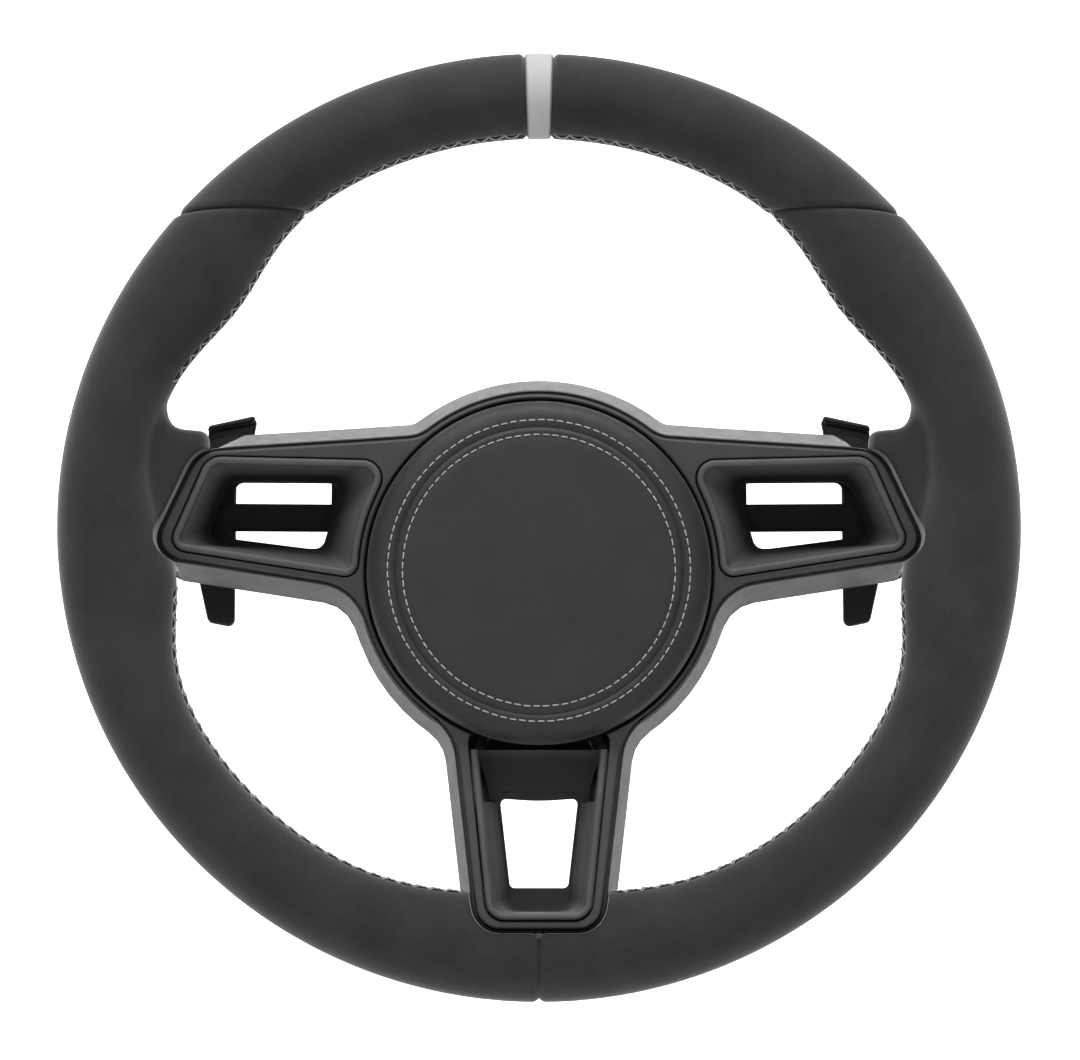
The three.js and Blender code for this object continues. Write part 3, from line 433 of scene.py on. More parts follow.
class Paint:
    """A procedural material built up from noise in object space."""

    def __init__(self, name):
        self.material = bpy.data.materials.new(name)
        self.material.use_nodes = True
        self.tree = self.material.node_tree
        self.shader = self.tree.nodes["Principled BSDF"]
        self.where = self.tree.nodes.new("ShaderNodeTexCoord").outputs["Object"]
        self.normal = None

    def node(self, kind, **values):
        made = self.tree.nodes.new(kind)
        for key, value in values.items():
            setattr(made, key, value)
        return made

    def link(self, source, target):
        self.tree.links.new(source, target)

    def noise(self, size, detail=3.0, rough=0.55, stretch=(1, 1, 1)):
        """Noise whose features are about size millimetres across."""
        source = self.where
        if stretch != (1, 1, 1):
            mapping = self.node("ShaderNodeMapping")
            mapping.inputs["Scale"].default_value = stretch
            self.link(source, mapping.inputs["Vector"])
            source = mapping.outputs["Vector"]
        noise = self.node("ShaderNodeTexNoise")
        noise.inputs["Scale"].default_value = 1000 / size
        noise.inputs["Detail"].default_value = detail
        noise.inputs["Roughness"].default_value = rough
        self.link(source, noise.inputs["Vector"])
        return noise.outputs["Fac"]

    def cells(self, size):
        cells = self.node("ShaderNodeTexVoronoi", feature="DISTANCE_TO_EDGE")
        cells.inputs["Scale"].default_value = 1000 / size
        self.link(self.where, cells.inputs["Vector"])
        return cells.outputs["Distance"]

    def mapped(self, value, low, high, start=0.3, stop=0.7):
        ramp = self.node("ShaderNodeMapRange")
        for key, number in (("From Min", start), ("From Max", stop), ("To Min", low), ("To Max", high)):
            ramp.inputs[key].default_value = number
        self.link(value, ramp.inputs["Value"])
        return ramp.outputs["Result"]

    def colour(self, dark, light, value):
        mix = self.node("ShaderNodeMix", data_type="RGBA")
        mix.inputs["A"].default_value = (*dark, 1)
        mix.inputs["B"].default_value = (*light, 1)
        self.link(value, mix.inputs["Factor"])
        self.link(mix.outputs["Result"], self.shader.inputs["Base Color"])
        return mix

    def roughness(self, low, high, value):
        self.link(self.mapped(value, low, high), self.shader.inputs["Roughness"])

    def bump(self, height, depth, strength=1.0):
        """Adds relief of depth millimetres."""
        bump = self.node("ShaderNodeBump")
        bump.inputs["Distance"].default_value = depth * MM
        bump.inputs["Strength"].default_value = strength
        self.link(height, bump.inputs["Height"])
        if self.normal is not None:
            self.link(self.normal, bump.inputs["Normal"])
        self.normal = bump.outputs["Normal"]
        self.link(self.normal, self.shader.inputs["Normal"])

    def rounded(self, radius):
        """Shades hard edges as if they were rounded."""
        bevel = self.node("ShaderNodeBevel", samples=4)
        bevel.inputs["Radius"].default_value = radius * MM
        self.normal = bevel.outputs["Normal"]
        self.link(self.normal, self.shader.inputs["Normal"])

    def edge_highlight(self, mix, amount, light):
        """Lightens the convex edges of a colour: a painted highlight."""
        edges = self.mapped(self.node("ShaderNodeNewGeometry").outputs["Pointiness"], 0, amount, 0.51, 0.6)
        edge_light = self.node("ShaderNodeMix", data_type="RGBA")
        self.link(edges, edge_light.inputs["Factor"])
        self.link(mix.outputs["Result"], edge_light.inputs["A"])
        edge_light.inputs["B"].default_value = (*light, 1)
        self.link(edge_light.outputs["Result"], self.shader.inputs["Base Color"])

    def sum(self, value, scale, extra, kind="MULTIPLY_ADD"):
        """value times scale plus extra, or another kind of sum."""
        made = self.node("ShaderNodeMath", operation=kind)
        terms = (value, scale, extra) if kind == "MULTIPLY_ADD" else (value, extra)
        for term, socket in zip(terms, made.inputs):
            if isinstance(term, (int, float)):
                socket.default_value = term
            else:
                self.link(term, socket)
        return made.outputs["Value"]

    def recess_shaded(self, mix, amount):
        """Painted shade: darkens a colour from the face down to the back of the frame, where less light
        reaches into the recess.
        """
        split = self.node("ShaderNodeSeparateXYZ")
        self.link(self.where, split.inputs["Vector"])
        across = self.sum(split.outputs["X"], 1, 0, "ABSOLUTE")
        side = self.sum(self.sum(across, 1, -SIDE_START * MM), 1, 0, "MAXIMUM")
        lower = self.sum(self.sum(split.outputs["Z"], -1, -LOWER_START * MM), 1, 0, "MAXIMUM")
        flat = self.sum(split.outputs["Y"], 1, self.sum(side, SIDE_RISE, self.sum(lower, LOWER_RISE, 0)))
        depth = self.mapped(flat, 0, amount, -(FACE + 0.2) * MM, -(FACE - 9) * MM)
        shade = self.node("ShaderNodeMix", data_type="RGBA")
        self.link(depth, shade.inputs["Factor"])
        self.link(mix.outputs["Result"], shade.inputs["A"])
        # near-black painted shade at the back of the recess
        shade.inputs["B"].default_value = (0.0008, 0.0008, 0.0008, 1)
        self.link(shade.outputs["Result"], self.shader.inputs["Base Color"])
        self.link(self.mapped(depth, 0.5, 0.95, 0, 1), self.shader.inputs["Roughness"])

    def set(self, **values):
        for key, value in values.items():
            self.shader.inputs[key.replace("_", " ")].default_value = value


def grey(value):
    return (value, value, value * 1.02)


def suede(name, dark, light, sheen=0.6, speckle=0.2):
    paint = Paint(name)
    nap = paint.noise(26, 4, 0.6)
    mix = paint.colour(grey(dark), grey(light), paint.mapped(nap, 0, 1, 0.32, 0.68))
    fibres = paint.noise(0.7, 2, 0.7)
    speckled = paint.node("ShaderNodeMix", data_type="RGBA", blend_type="MULTIPLY")
    speckled.inputs["Factor"].default_value = 1
    shade = paint.node("ShaderNodeCombineColor")
    for channel in ("Red", "Green", "Blue"):
        paint.link(paint.mapped(fibres, 1 - speckle, 1 + speckle), shade.inputs[channel])
    paint.link(mix.outputs["Result"], speckled.inputs["A"])
    paint.link(shade.outputs["Color"], speckled.inputs["B"])
    # Painted shade: the colour goes near black where the crease attribute says, in the seam creases, beside
    # the stitches and in the frame's shadow on the hide.
    crease_shaded = paint.node("ShaderNodeMix", data_type="RGBA")
    crease_shade = paint.node("ShaderNodeAttribute", attribute_name="crease_shade")
    paint.link(crease_shade.outputs["Fac"], crease_shaded.inputs["Factor"])
    paint.link(speckled.outputs["Result"], crease_shaded.inputs["A"])
    crease_shaded.inputs["B"].default_value = (0.0012, 0.0012, 0.0012, 1)
    paint.link(crease_shaded.outputs["Result"], paint.shader.inputs["Base Color"])
    paint.roughness(0.88, 1.0, nap)
    paint.bump(fibres, 0.10, 0.5)
    paint.bump(paint.noise(5, 3), 0.12, 0.4)
    paint.set(Sheen_Weight=sheen, Sheen_Roughness=0.45, Sheen_Tint=(0.85, 0.85, 0.88, 1))
    paint.set(Specular_IOR_Level=0.12)
    return paint.material


def leather(name, dark, light):
    paint = Paint(name)
    blotch = paint.noise(18, 3)
    paint.colour(grey(dark), grey(light), paint.mapped(blotch, 0, 1, 0.3, 0.7))
    paint.roughness(0.52, 0.62, paint.noise(3, 2))
    paint.bump(paint.mapped(paint.cells(0.9), 0, 1, 0.0, 0.25), 0.05, 0.35)
    paint.bump(paint.noise(7, 3), 0.1, 0.25)
    paint.set(Specular_IOR_Level=0.22, Sheen_Weight=0.05, Sheen_Roughness=0.5)
    return paint.material


def plastic(name, dark, light, rough=(0.36, 0.44), grain=0.35, specular=0.45, edge_round=0.0, recess_shade=0.0):
    """Moulded plastic. The last argument is how much painted shade darkens it down in a recess, where it is
    also rougher; without it, its convex edges get a painted highlight.
    """
    paint = Paint(name)
    mix = paint.colour(grey(dark), grey(light), paint.mapped(paint.noise(14, 3), 0, 1))
    # painted shade down in a recess, or else a painted highlight along the convex edges
    if recess_shade:
        paint.recess_shaded(mix, recess_shade)
    else:
        paint.edge_highlight(mix, 0.08, grey(light * 3 + 0.02))
        paint.roughness(rough[0], rough[1], paint.noise(5, 3))
    if edge_round:
        paint.rounded(edge_round)
    paint.bump(paint.noise(grain, 2, 0.6), 0.02, 0.3)
    paint.set(Specular_IOR_Level=specular)
    return paint.material


def metal(name, colour, rough, brushed=None, grain=0.6):
    paint = Paint(name)
    stretch = brushed or (1, 1, 1)
    streaks = paint.noise(grain, 3, 0.6, stretch)
    dark = tuple(c * 0.82 for c in colour)
    paint.colour(dark, colour, paint.mapped(paint.noise(6, 3), 0, 1))
    paint.roughness(rough * 0.85, rough * 1.2, streaks)
    paint.rounded(0.3)
    paint.bump(streaks, 0.015, 0.5)
    paint.set(Metallic=1.0)
    return paint.material


def thread(name, dark, light):
    paint = Paint(name)
    paint.colour(grey(dark), grey(light), paint.mapped(paint.noise(1.2, 2), 0, 1))
    paint.roughness(0.6, 0.8, paint.noise(0.5, 2))
    paint.bump(paint.noise(0.25, 2, 0.7), 0.06, 0.6)
    paint.set(Sheen_Weight=0.3, Specular_IOR_Level=0.3)
    return paint.material


SUEDE = suede("suede", 0.0095, 0.0165, sheen=0.32)
MARKER = suede("marker_suede", 0.225, 0.25, sheen=0.15, speckle=0.05)
LEATHER = leather("pad_leather", 0.0072, 0.0098)
SATIN = plastic("satin_plastic", 0.012, 0.016, rough=(0.44, 0.52), specular=0.3)
# The inserts' own grey, made lighter as a painted highlight on their raised bead; painted shade darkens it
# down into their recesses.
BEZEL = plastic("insert_plastic", 0.036, 0.044, specular=0.15, recess_shade=0.97)
LOWER_BEZEL = plastic("lower_insert_plastic", 0.036, 0.044, specular=0.15, recess_shade=0.66)
MATTE = plastic("matte_plastic", 0.004, 0.006, rough=(0.5, 0.6), grain=0.6, specular=0.2, edge_round=0.4)
CAST = metal("cast_alloy", (0.33, 0.34, 0.35), 0.5, grain=0.9)
STEEL = metal("steel", (0.38, 0.39, 0.41), 0.32, (1, 12, 1))
BRASS = metal("contact_brass", (0.72, 0.52, 0.22), 0.32)
FOAM = plastic("moulded_foam", 0.03, 0.045, rough=(0.85, 0.95), grain=1.2, specular=0.2)
WIRE = plastic("wire_insulation", 0.012, 0.016, rough=(0.5, 0.6), grain=0.8)
THREAD = thread("grey_thread", 0.16, 0.24)

PAINTS = {
    "suede": SUEDE,
    "marker_suede": MARKER,
    "pad_leather": LEATHER,
    "satin_plastic": SATIN,
    "matte_plastic": MATTE,
    "foam": FOAM,
    "cast_alloy": CAST,
    "steel": STEEL,
    "contact_brass": BRASS,
    "wire_insulation": WIRE,
}

# ------------------------------------------------------------------ handing pieces over


def piece(thing, body, material, slot, *nodes):
    thing.data.materials.clear()
    thing.data.materials.append(material)
    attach(thing, body)
    if nodes:
        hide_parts(*nodes)
    return thing


def mirror_image(thing, name):
    """A copy reflected in the wheel's upright middle plane."""
    bm = bmesh.new()
    bm.from_mesh(thing.data)
    for vertex in bm.verts:
        vertex.co.x = -vertex.co.x
    bmesh.ops.reverse_faces(bm, faces=bm.faces)
    mesh = bpy.data.meshes.new(name)
    bm.to_mesh(mesh)
    bm.free()
    copy = bpy.data.objects.new(name, mesh)
    bpy.context.scene.collection.objects.link(copy)
    return copy


# ------------------------------------------------------------------ spoke frame and inserts

WALL_TOP = FACE - 1.5
# Flare, grow and height up the frame's wall, over the line round its face and onto the face.
FRAME_PROFILE = (
    (1, -0.5, FRAME_BACK),
    (1, -0.1, FRAME_BACK + 0.2),
    (0.97, 0, FRAME_BACK + 0.6),
    (0.09, 0, WALL_TOP - 0.3),
    (0.08, -0.1, WALL_TOP - 0.1),
    (0.07, -0.3, WALL_TOP),
    (0.06, -0.45, WALL_TOP - 0.15),
    (0.05, -0.5, WALL_TOP - 1.0),
    (0.02, -0.85, WALL_TOP - 1.0),
    (0, -0.9, FACE - 1.2),
    (0, -1.0, FACE - 0.7),
    (0, -1.25, FACE - 0.3),
    (0, -1.6, FACE - 0.08),
    (0, -2.0, FACE),
)


def edge_cutter(name, shape, depth, fit, roll=0.8):
    """Cuts an opening in the face, its edge rolled over."""
    rings = [ring(shape(fit), FACE - depth), ring(shape(fit), FACE - roll)]
    for s in range(1, 5):
        turn = math.pi / 2 * s / 4
        rings.append(ring(shape(fit + roll * (1 - math.cos(turn))), FACE - roll + roll * math.sin(turn)))
    rings.append(ring(shape(fit + roll * 2), FACE + roll))
    return lofted(name, rings)


def plain_circle(grow):
    return [(x, y) for x, y, _ in circle(grow, 0)]


def spoke_frame():
    shell = lofted("frame_shell", [ring(frame_outline(f, g), z) for f, g, z in FRAME_PROFILE])
    hollow = lofted(
        "frame_hollow",
        [ring(frame_outline(1, -2.4), FRAME_BACK - 1), ring(frame_outline(0.1, -3.4), FACE - 3.2)],
    )
    cut(shell, hollow)
    skirt = lofted("frame_skirt", [circle(PAD_HOLE + 2.4, FACE - 12), circle(PAD_HOLE + 2.4, FACE - 2.6)])
    join(shell, skirt)
    tools = [
        edge_cutter("mouth", plain_circle, 30, PAD_HOLE - 0.5, 0.9),
        edge_cutter("left_window", side_lip, 15, 0.45, 0.6),
        edge_cutter("right_window", lambda grow: mirrored(side_lip(grow)), 15, 0.45, 0.6),
        edge_cutter("lower_window", lambda grow: lower_lip(grow, 8), 15, 0.45, 0.6),
    ]
    cut(shell, *tools)
    tilt(shell)
    shell.name = "frame_shell_piece"
    return smooth(shell)


def bead(lip, mouth):
    """Rings over the raised bead, from its outer foot to its inner one."""
    rings = []
    for s in range(11):
        turn = math.pi * s / 10
        grow = -LIP / 2 + LIP / 2 * math.cos(turn)
        shape = lip if s < 6 else mouth
        rings.append(ring(shape(grow), FACE + 0.1 + (LIP_PROUD - 0.1) * math.sin(turn) ** 0.7))
    return rings


def funnel(name, lip, mouth, scoop, throat, floor, brink_height, curve):
    """An insert: outside wall, bead, slope down to the scoop's edge, drop, and floor round the slots."""
    back = FRAME_BACK + 0.5
    rings = [
        ring(scoop(2.0), back),
        ring(lip(-1.4), FACE - 6),
        ring(lip(0), FACE - 5),
        ring(lip(0), FACE - 0.2),
        *bead(lip, mouth),
        ring(mouth(-LIP), FACE - 0.4),
    ]
    top, brink = mouth(-LIP - 0.1), scoop(0.4)
    slope_top, slope_end = FACE - 1.0, floor + brink_height
    for s in range(13):
        share = s / 12
        height = slope_top + (slope_end - slope_top) * share**curve
        rings.append(ring(mixed(top, brink, share), height))
    for grow, z in ((0.0, slope_end - 0.5), (-0.1, slope_end - 1.5), (0.3, floor + 1.6), (0.0, floor + 0.5)):
        rings.append(ring(scoop(grow), z))
    rings.append(ring(mixed(scoop(0), throat(0.5), 0.3), floor))
    rings.append(ring(throat(0.4), floor))
    rings.append(ring(throat(0.1), floor - 0.15))
    rings.append(ring(throat(0), floor - 0.5))
    rings.append(ring(throat(0), back))
    return lofted(name, rings, loop=True)


def vane():
    """The bar between the side slots, chamfered along its upper edge."""
    back = FRAME_BACK + 0.5
    section = [(-1.4, 0), (9.2, 0), (9.2, 0.8), (9.0, 1.3), (6.9, 4.3)]
    section += [(6.4, 4.6), (5.8, 4.4), (-1.0, 1.6), (-1.4, 1.1)]
    places = (-SPOKE_END + 16.5, -100, -90, -76)
    return lofted("vane", [[(x, y, back + z) for y, z in reversed(section)] for x in places])


def side_insert():
    scoop = lambda grow: side_throat(grow, 9)
    made = funnel("side_insert", side_lip, side_lip, scoop, side_throat, FRAME_BACK + 3, 6, 1.25)
    join(made, vane())
    tilt(made)
    made.name = "left_insert_piece"
    return smooth(made, 40)


def lower_insert():
    mouth = lambda grow: lower_lip(grow, 9)
    scoop = lambda grow: lower_throat(grow + 1.0, 2.0, 7.2)
    made = funnel("lower_insert", mouth, mouth, scoop, lower_throat, FRAME_BACK + 3, 3, 1.7)
    room = [[(x, y, z) for x, y in ((-40, -84.9), (40, -84.9), (40, -60), (-40, -60))] for z in (40, 90)]
    cut(made, lofted("top_end", room))
    section = [(-104.4, 57.4), (-101, 57.6), (-97, 58.7), (-93, 61.0), (-89, 64.5), (-86.5, 67.7)]
    section += [(-84, 71.5), (-84, 95), (-104.4, 95)]
    scooped = lofted("scooped", [[(x, y, z) for y, z in section] for x in (-30, 30)])
    sides = [(-20.7, -104.4, 1), (20.7, -104.4, 1), (22.9, -84, 1)]
    sides += [(22.9, -80, 1), (-22.9, -80, 1), (-22.9, -84, 1)]
    inside = lofted("inside", [ring(polygon(sides), z) for z in (50, 96)])
    cut(made, combine(scooped, [inside], "INTERSECT"))
    tilt(made)
    made.name = "lower_insert_piece"
    return smooth(made, 40)


piece(spoke_frame(), "wheel", SATIN, "satin_plastic", "spoke_frame")
left_insert = side_insert()
right_insert = mirror_image(left_insert, "right_insert_piece")
smooth(right_insert, 40)
piece(left_insert, "wheel", BEZEL, "matte_plastic", "left_spoke_insert")
piece(right_insert, "wheel", BEZEL, "matte_plastic", "right_spoke_insert")
piece(lower_insert(), "wheel", LOWER_BEZEL, "matte_plastic", "lower_spoke_insert")

# ------------------------------------------------------------------ paddles

PADDLE_BACK, PADDLE_FRONT = 34.0, 38.0
PIVOT_X, PIVOT_Z = -72.0, 36.0
KNUCKLE_LOW, KNUCKLE_HIGH = -5.5, 13.5
BLADE = (
    (-127.8, 42, 4),
    (-131, 8, 20),
    (-131, -19, 12),
    (-127.5, -34.4, 2.6),
    (-117.2, -36.5, 2.6),
    (-117, 26, 6),
    (-111, 34, 6),
    (-108.8, 46, 2.4),
)
RIDGE = ((-110.6, 42.3, 1.3), (-109.2, 45.8, 1.5), (-127.6, 41.8, 1.5), (-128.6, 38.9, 1.3))


def rounded_plate(name, corners, back, front, roll):
    """A plate with its edges rolled over."""
    rings = []
    for s in range(9):
        turn = math.pi / 2 * min(s, 8 - s) / 4
        grow = -roll * (1 - math.sin(turn))
        lift = roll * (1 - math.cos(turn))
        rings.append(ring(polygon(corners, grow), back + lift if s <= 4 else front - lift))
    return lofted(name, rings)


def upright_bar(name, radius, low, high, sides):
    """A round bar along y, about the paddle's pivot."""
    points = circle(radius, 0, PIVOT_X, PIVOT_Z, sides)
    return lofted(name, [[(x, height, z) for x, z, _ in points] for height in (low, high)])


def paddle():
    blade = rounded_plate("paddle", BLADE, PADDLE_BACK, PADDLE_FRONT, 1.2)
    corners = ((-121, 1.5, 1), (PIVOT_X, 1.5, 1), (PIVOT_X, 8.5, 1), (-121, 8.5, 1))
    arm = rounded_plate("arm", corners, PADDLE_BACK, PADDLE_FRONT, 0.8)
    ridge = rounded_plate("ridge", RIDGE, PADDLE_BACK + 1, PADDLE_FRONT + 2.4, 1.5)
    join(blade, arm, ridge, upright_bar("knuckle", 4.6, KNUCKLE_LOW, KNUCKLE_HIGH, 40))
    cut(blade, upright_bar("bore", 2.1, KNUCKLE_LOW - 2, KNUCKLE_HIGH + 2, 32))
    blade.name = "left_paddle_piece"
    return smooth(blade, 40)


left_paddle = paddle()
right_paddle = mirror_image(left_paddle, "right_paddle_piece")
smooth(right_paddle, 40)
piece(left_paddle, "left_paddle", MATTE, "matte_plastic", "left_paddle")
piece(right_paddle, "right_paddle", MATTE, "matte_plastic", "right_paddle")

# ------------------------------------------------------------------ horn pad


def crown(radius):
    return PAD_CROWN - 0.8 * (radius / PAD_SEAM) ** 2


def dip(radius, centre, width, depth):
    return depth * math.exp(-(((radius - centre) / width) ** 2))


def pad_height(radius):
    """The leather's surface, pulled down at its seam and a little at its two rows of stitches."""
    stitches = sum(dip(radius, row, 1.3, 0.22) for row in PAD_STITCHES)
    return crown(radius) - dip(radius, PAD_SEAM, 0.9, 0.75) - stitches


def pad_surface(start, stop):
    """Radius and height from start to stop, over the pad's rounded edge and down its side."""
    shoulder = PAD_RADIUS - PAD_EDGE
    count = max(4, int((min(stop, shoulder) - start) / 0.45))
    points = []
    for s in range(count + 1):
        radius = start + (min(stop, shoulder) - start) * s / count
        points.append((radius, pad_height(radius)))
    if stop > shoulder:
        top = pad_height(shoulder)
        for s in range(1, 15):
            turn = math.pi / 2 * s / 14
            points.append((shoulder + PAD_EDGE * math.sin(turn), top - PAD_EDGE * (1 - math.cos(turn))))
        points.append((PAD_RADIUS, PAD_SKIRT + 1.5))
        points.append((PAD_RADIUS - 0.3, PAD_SKIRT + 0.3))
        points.append((PAD_RADIUS - 0.7, PAD_SKIRT))
    return points


def pad_skin(name, start, stop):
    """A leather from one radius to another, with its underside."""
    outer = pad_surface(start, stop)
    under = []
    for radius, height in reversed(outer):
        inward = HIDE if height < PAD_CROWN - 4 else 0
        down = HIDE if height > PAD_SKIRT + 1 else 0
        under.append((max(radius - inward, 0), height - down))
    profile = [*under, *outer] if start else [*reversed(under), *reversed(outer)]
    rings = [circle(max(radius, 0.02), height, sides=160) for radius, height in profile]
    return smooth(lofted(name, rings, loop=start > 0), 50)


centre_leather = pad_skin("pad_centre_piece", 0.0, PAD_SEAM - 0.08)
piece(centre_leather, "horn_pad", LEATHER, "pad_leather", "pad_centre_leather")
edge_leather = pad_skin("pad_edge_piece", PAD_SEAM + 0.08, PAD_RADIUS)
piece(edge_leather, "horn_pad", LEATHER, "pad_leather", "pad_edge_leather")


def pad_stitches():
    """Two rows of straight stitches, each sinking into the leather at its ends."""
    parts = []
    for row, count in zip(PAD_STITCHES, (91, 101)):
        pitch = 2 * math.pi / count
        for i in range(count):
            middle = i * pitch + random.uniform(-0.02, 0.02) * pitch
            reach = pitch * 0.42
            radius = row + random.uniform(-0.06, 0.06)
            path = []
            for s in range(7):
                share = s / 3 - 1
                angle = middle + reach * share
                lift = 0.28 - 0.75 * abs(share) ** 3
                path.append(
                    (radius * math.cos(angle), radius * math.sin(angle) - PAD_DROP, pad_height(radius) + lift)
                )
            parts.append(tube(path, 0.24))
    return smooth(gathered("pad_stitches", parts), 60)


piece(pad_stitches(), "horn_pad", THREAD, "pad_leather")

# ------------------------------------------------------------------ rim


def swell(clock):
    around = abs((clock + 540) % 360 - 180)
    return sum(s * math.exp(-(((around - at) / half) ** 2)) for at, s, half in SWELLS)


def rim_point(clock, turn, radial, depth):
    amount = swell(clock)
    radius = GRIP_CENTRE + radial * math.cos(turn) - amount * (1 - math.cos(turn)) / 2
    angle = math.radians(clock)
    return radius * math.sin(angle), (radius - RIM_OVAL) * math.cos(angle), RIM_PLANE + depth * math.sin(turn)


def rim_tube(extra):
    sides, steps = 56, 300
    reach = GRIP / 2 + extra, GRIP_DEPTH / 2 + extra
    turns = [2 * math.pi * j / sides for j in range(sides)]
    rings = [[rim_point(360 * i / steps, turn, *reach) for turn in turns] for i in range(steps)]
    return loft(rings, loop=True)


COLLAR = (
    (-RIM_INNER - 12, 56, 1),
    (-RIM_INNER - 12, -15, 4),
    (-RIM_INNER + 12, -15, 5),
    (-RIM_INNER + 24, 4, 4),
    (-RIM_INNER + 24, 34.4, 3),
    (-RIM_INNER + 9.4, 35.4, 6),
    (-RIM_INNER + 4.5, 56, 6),
)
# How far each outline of the collar is grown, and how far it is in front of the rim's middle plane.
COLLAR_RINGS = ((-13, -20), (-8, -19), (-4.5, -17), (-1.5, -12), (0, -7), (0, -3), (-1.5, 1.5), (-5, 4))


def collar(extra):
    """The hide's padding over the end of a side spoke, domed at the back."""
    return loft([ring(polygon(COLLAR, grow + extra, 6), RIM_PLANE + z) for grow, z in COLLAR_RINGS])


VOXEL = 1.0
SMOOTHING = 34
SHRINK = 0.32  # what that much smoothing takes off the grip


def remeshed(thing, size):
    thing.data.remesh_voxel_size = size * MM
    bpy.context.view_layer.objects.active = thing
    with bpy.context.temp_override(object=thing, active_object=thing, selected_objects=[thing]):
        bpy.ops.object.voxel_remesh()
    return thing


def softened(thing, rounds, factor=0.5):
    modifier = thing.modifiers.new("soften", "SMOOTH")
    modifier.iterations = rounds
    modifier.factor = factor
    return settle(thing)


def pocket(fit):
    """The room the frame takes out of the rim."""
    front, back = frame_outline(0.09, fit), frame_outline(1, fit + 0.3)
    room = [(back, COVER_BACK - 30), (back, FRAME_BACK + 1), (front, FACE), (front, FACE + 40)]
    return tilt(lofted("pocket", [ring(points, z) for points, z in room]))


def copied(name):
    """A piece of a CAD node's own shape, its corners joined up."""
    node = frame["nodes"][name]
    bm = bmesh.new()
    bm.from_mesh(node.data)
    bm.transform(node.matrix_world)
    bmesh.ops.remove_doubles(bm, verts=bm.verts, dist=1e-6)
    mesh = bpy.data.meshes.new(name + "_piece")
    bm.to_mesh(mesh)
    bm.free()
    thing = bpy.data.objects.new(name + "_piece", mesh)
    bpy.context.scene.collection.objects.link(thing)
    return thing


def inset(thing, depth):
    """A coarser copy of a closed mesh, moved in by depth millimetres."""
    copy = bpy.data.objects.new("inset", thing.data.copy())
    bpy.context.scene.collection.objects.link(copy)
    remeshed(copy, 2 * VOXEL)
    bm = bmesh.new()
    bm.from_mesh(copy.data)
    bm.normal_update()
    for vertex in bm.verts:
        vertex.co -= vertex.normal * depth * MM
    bm.to_mesh(copy.data)
    bm.free()
    return copy


def grip_solid():
    """Grip and collars as one soft body, with the room for the frame's three ends taken out."""
    body = gathered("grip", [rim_tube(SHRINK)])
    left = mesh_object("left_collar", *collar(SHRINK))
    right = mirror_image(left, "right_collar")
    join(body, left, right)
    softened(remeshed(body, VOXEL), SMOOTHING)
    cut(body, pocket(0.3))
    return softened(remeshed(body, VOXEL), 3)


def seam_line(solid):
    """Places along the stitched seam on the inner side of the grip: clock angle, point and normal."""
    bm = bmesh.new()
    bm.from_mesh(solid.data)
    tree = BVHTree.FromBMesh(bm)
    bm.free()
    found = []
    turn = math.pi - math.radians(SEAM_TURN)
    for step in range(int(360 / SEAM_STEP)):
        clock = step * SEAM_STEP
        middle = Vector(rim_point(clock, 0, 0, 0))
        inner = Vector(rim_point(clock, turn, GRIP / 2, GRIP_DEPTH / 2))
        start, target = place(*middle), place(*inner)
        hit, normal, _, _ = tree.ray_cast(start, (target - start).normalized())
        if hit is not None:
            found.append((clock, hit, normal))
    return found


SEAM_TURN = 11.0  # how far the stitched seam sits towards the driver from the grip's inmost line
SEAM_STEP = 0.15
STITCH_PITCH = 2.9
STITCH_REACH = 1.7
SLICED = 3.0  # how near a seam the faces are that its loops may cut
SEAM_SHADE_WIDTH = 1.0  # how wide the painted shade along a panel seam is, each way
# How wide the painted shadow of the frame on the hide round it is, and how far out it begins.
HEM_SHADOW, HEM_SHADOW_START = 1.8, 100.0
STITCHED = ((2.2, 69.0), (101.0, 168.5))  # clock angles of the stitched runs on one side

solid = grip_solid()
seam = seam_line(solid)
seam_tree = kdtree.KDTree(len(seam))
for index, (_, point, _) in enumerate(seam):
    seam_tree.insert(point, index)
seam_tree.balance()


def stitched(clock):
    around = abs((clock + 540) % 360 - 180)
    return any(low <= around <= high for low, high in STITCHED)


def fold(distance, width, depth):
    return depth * (1 - distance / width) ** 2 if distance < width else 0.0


def panel_folds(x, y):
    """Distance, width and depth of the folds along the panel seams, at a place on the rim."""
    if y < 0:
        return [(abs(x), 2.6, 1.4)] if y < -100 else []
    gap = abs(x) - math.tan(math.radians(MARKER_ANGLE)) * y
    return [(abs(y - SEAM_HEIGHT), 2.4, 1.3), (abs(gap), 2.0 if gap > 0 else 0.8, 1.4)]


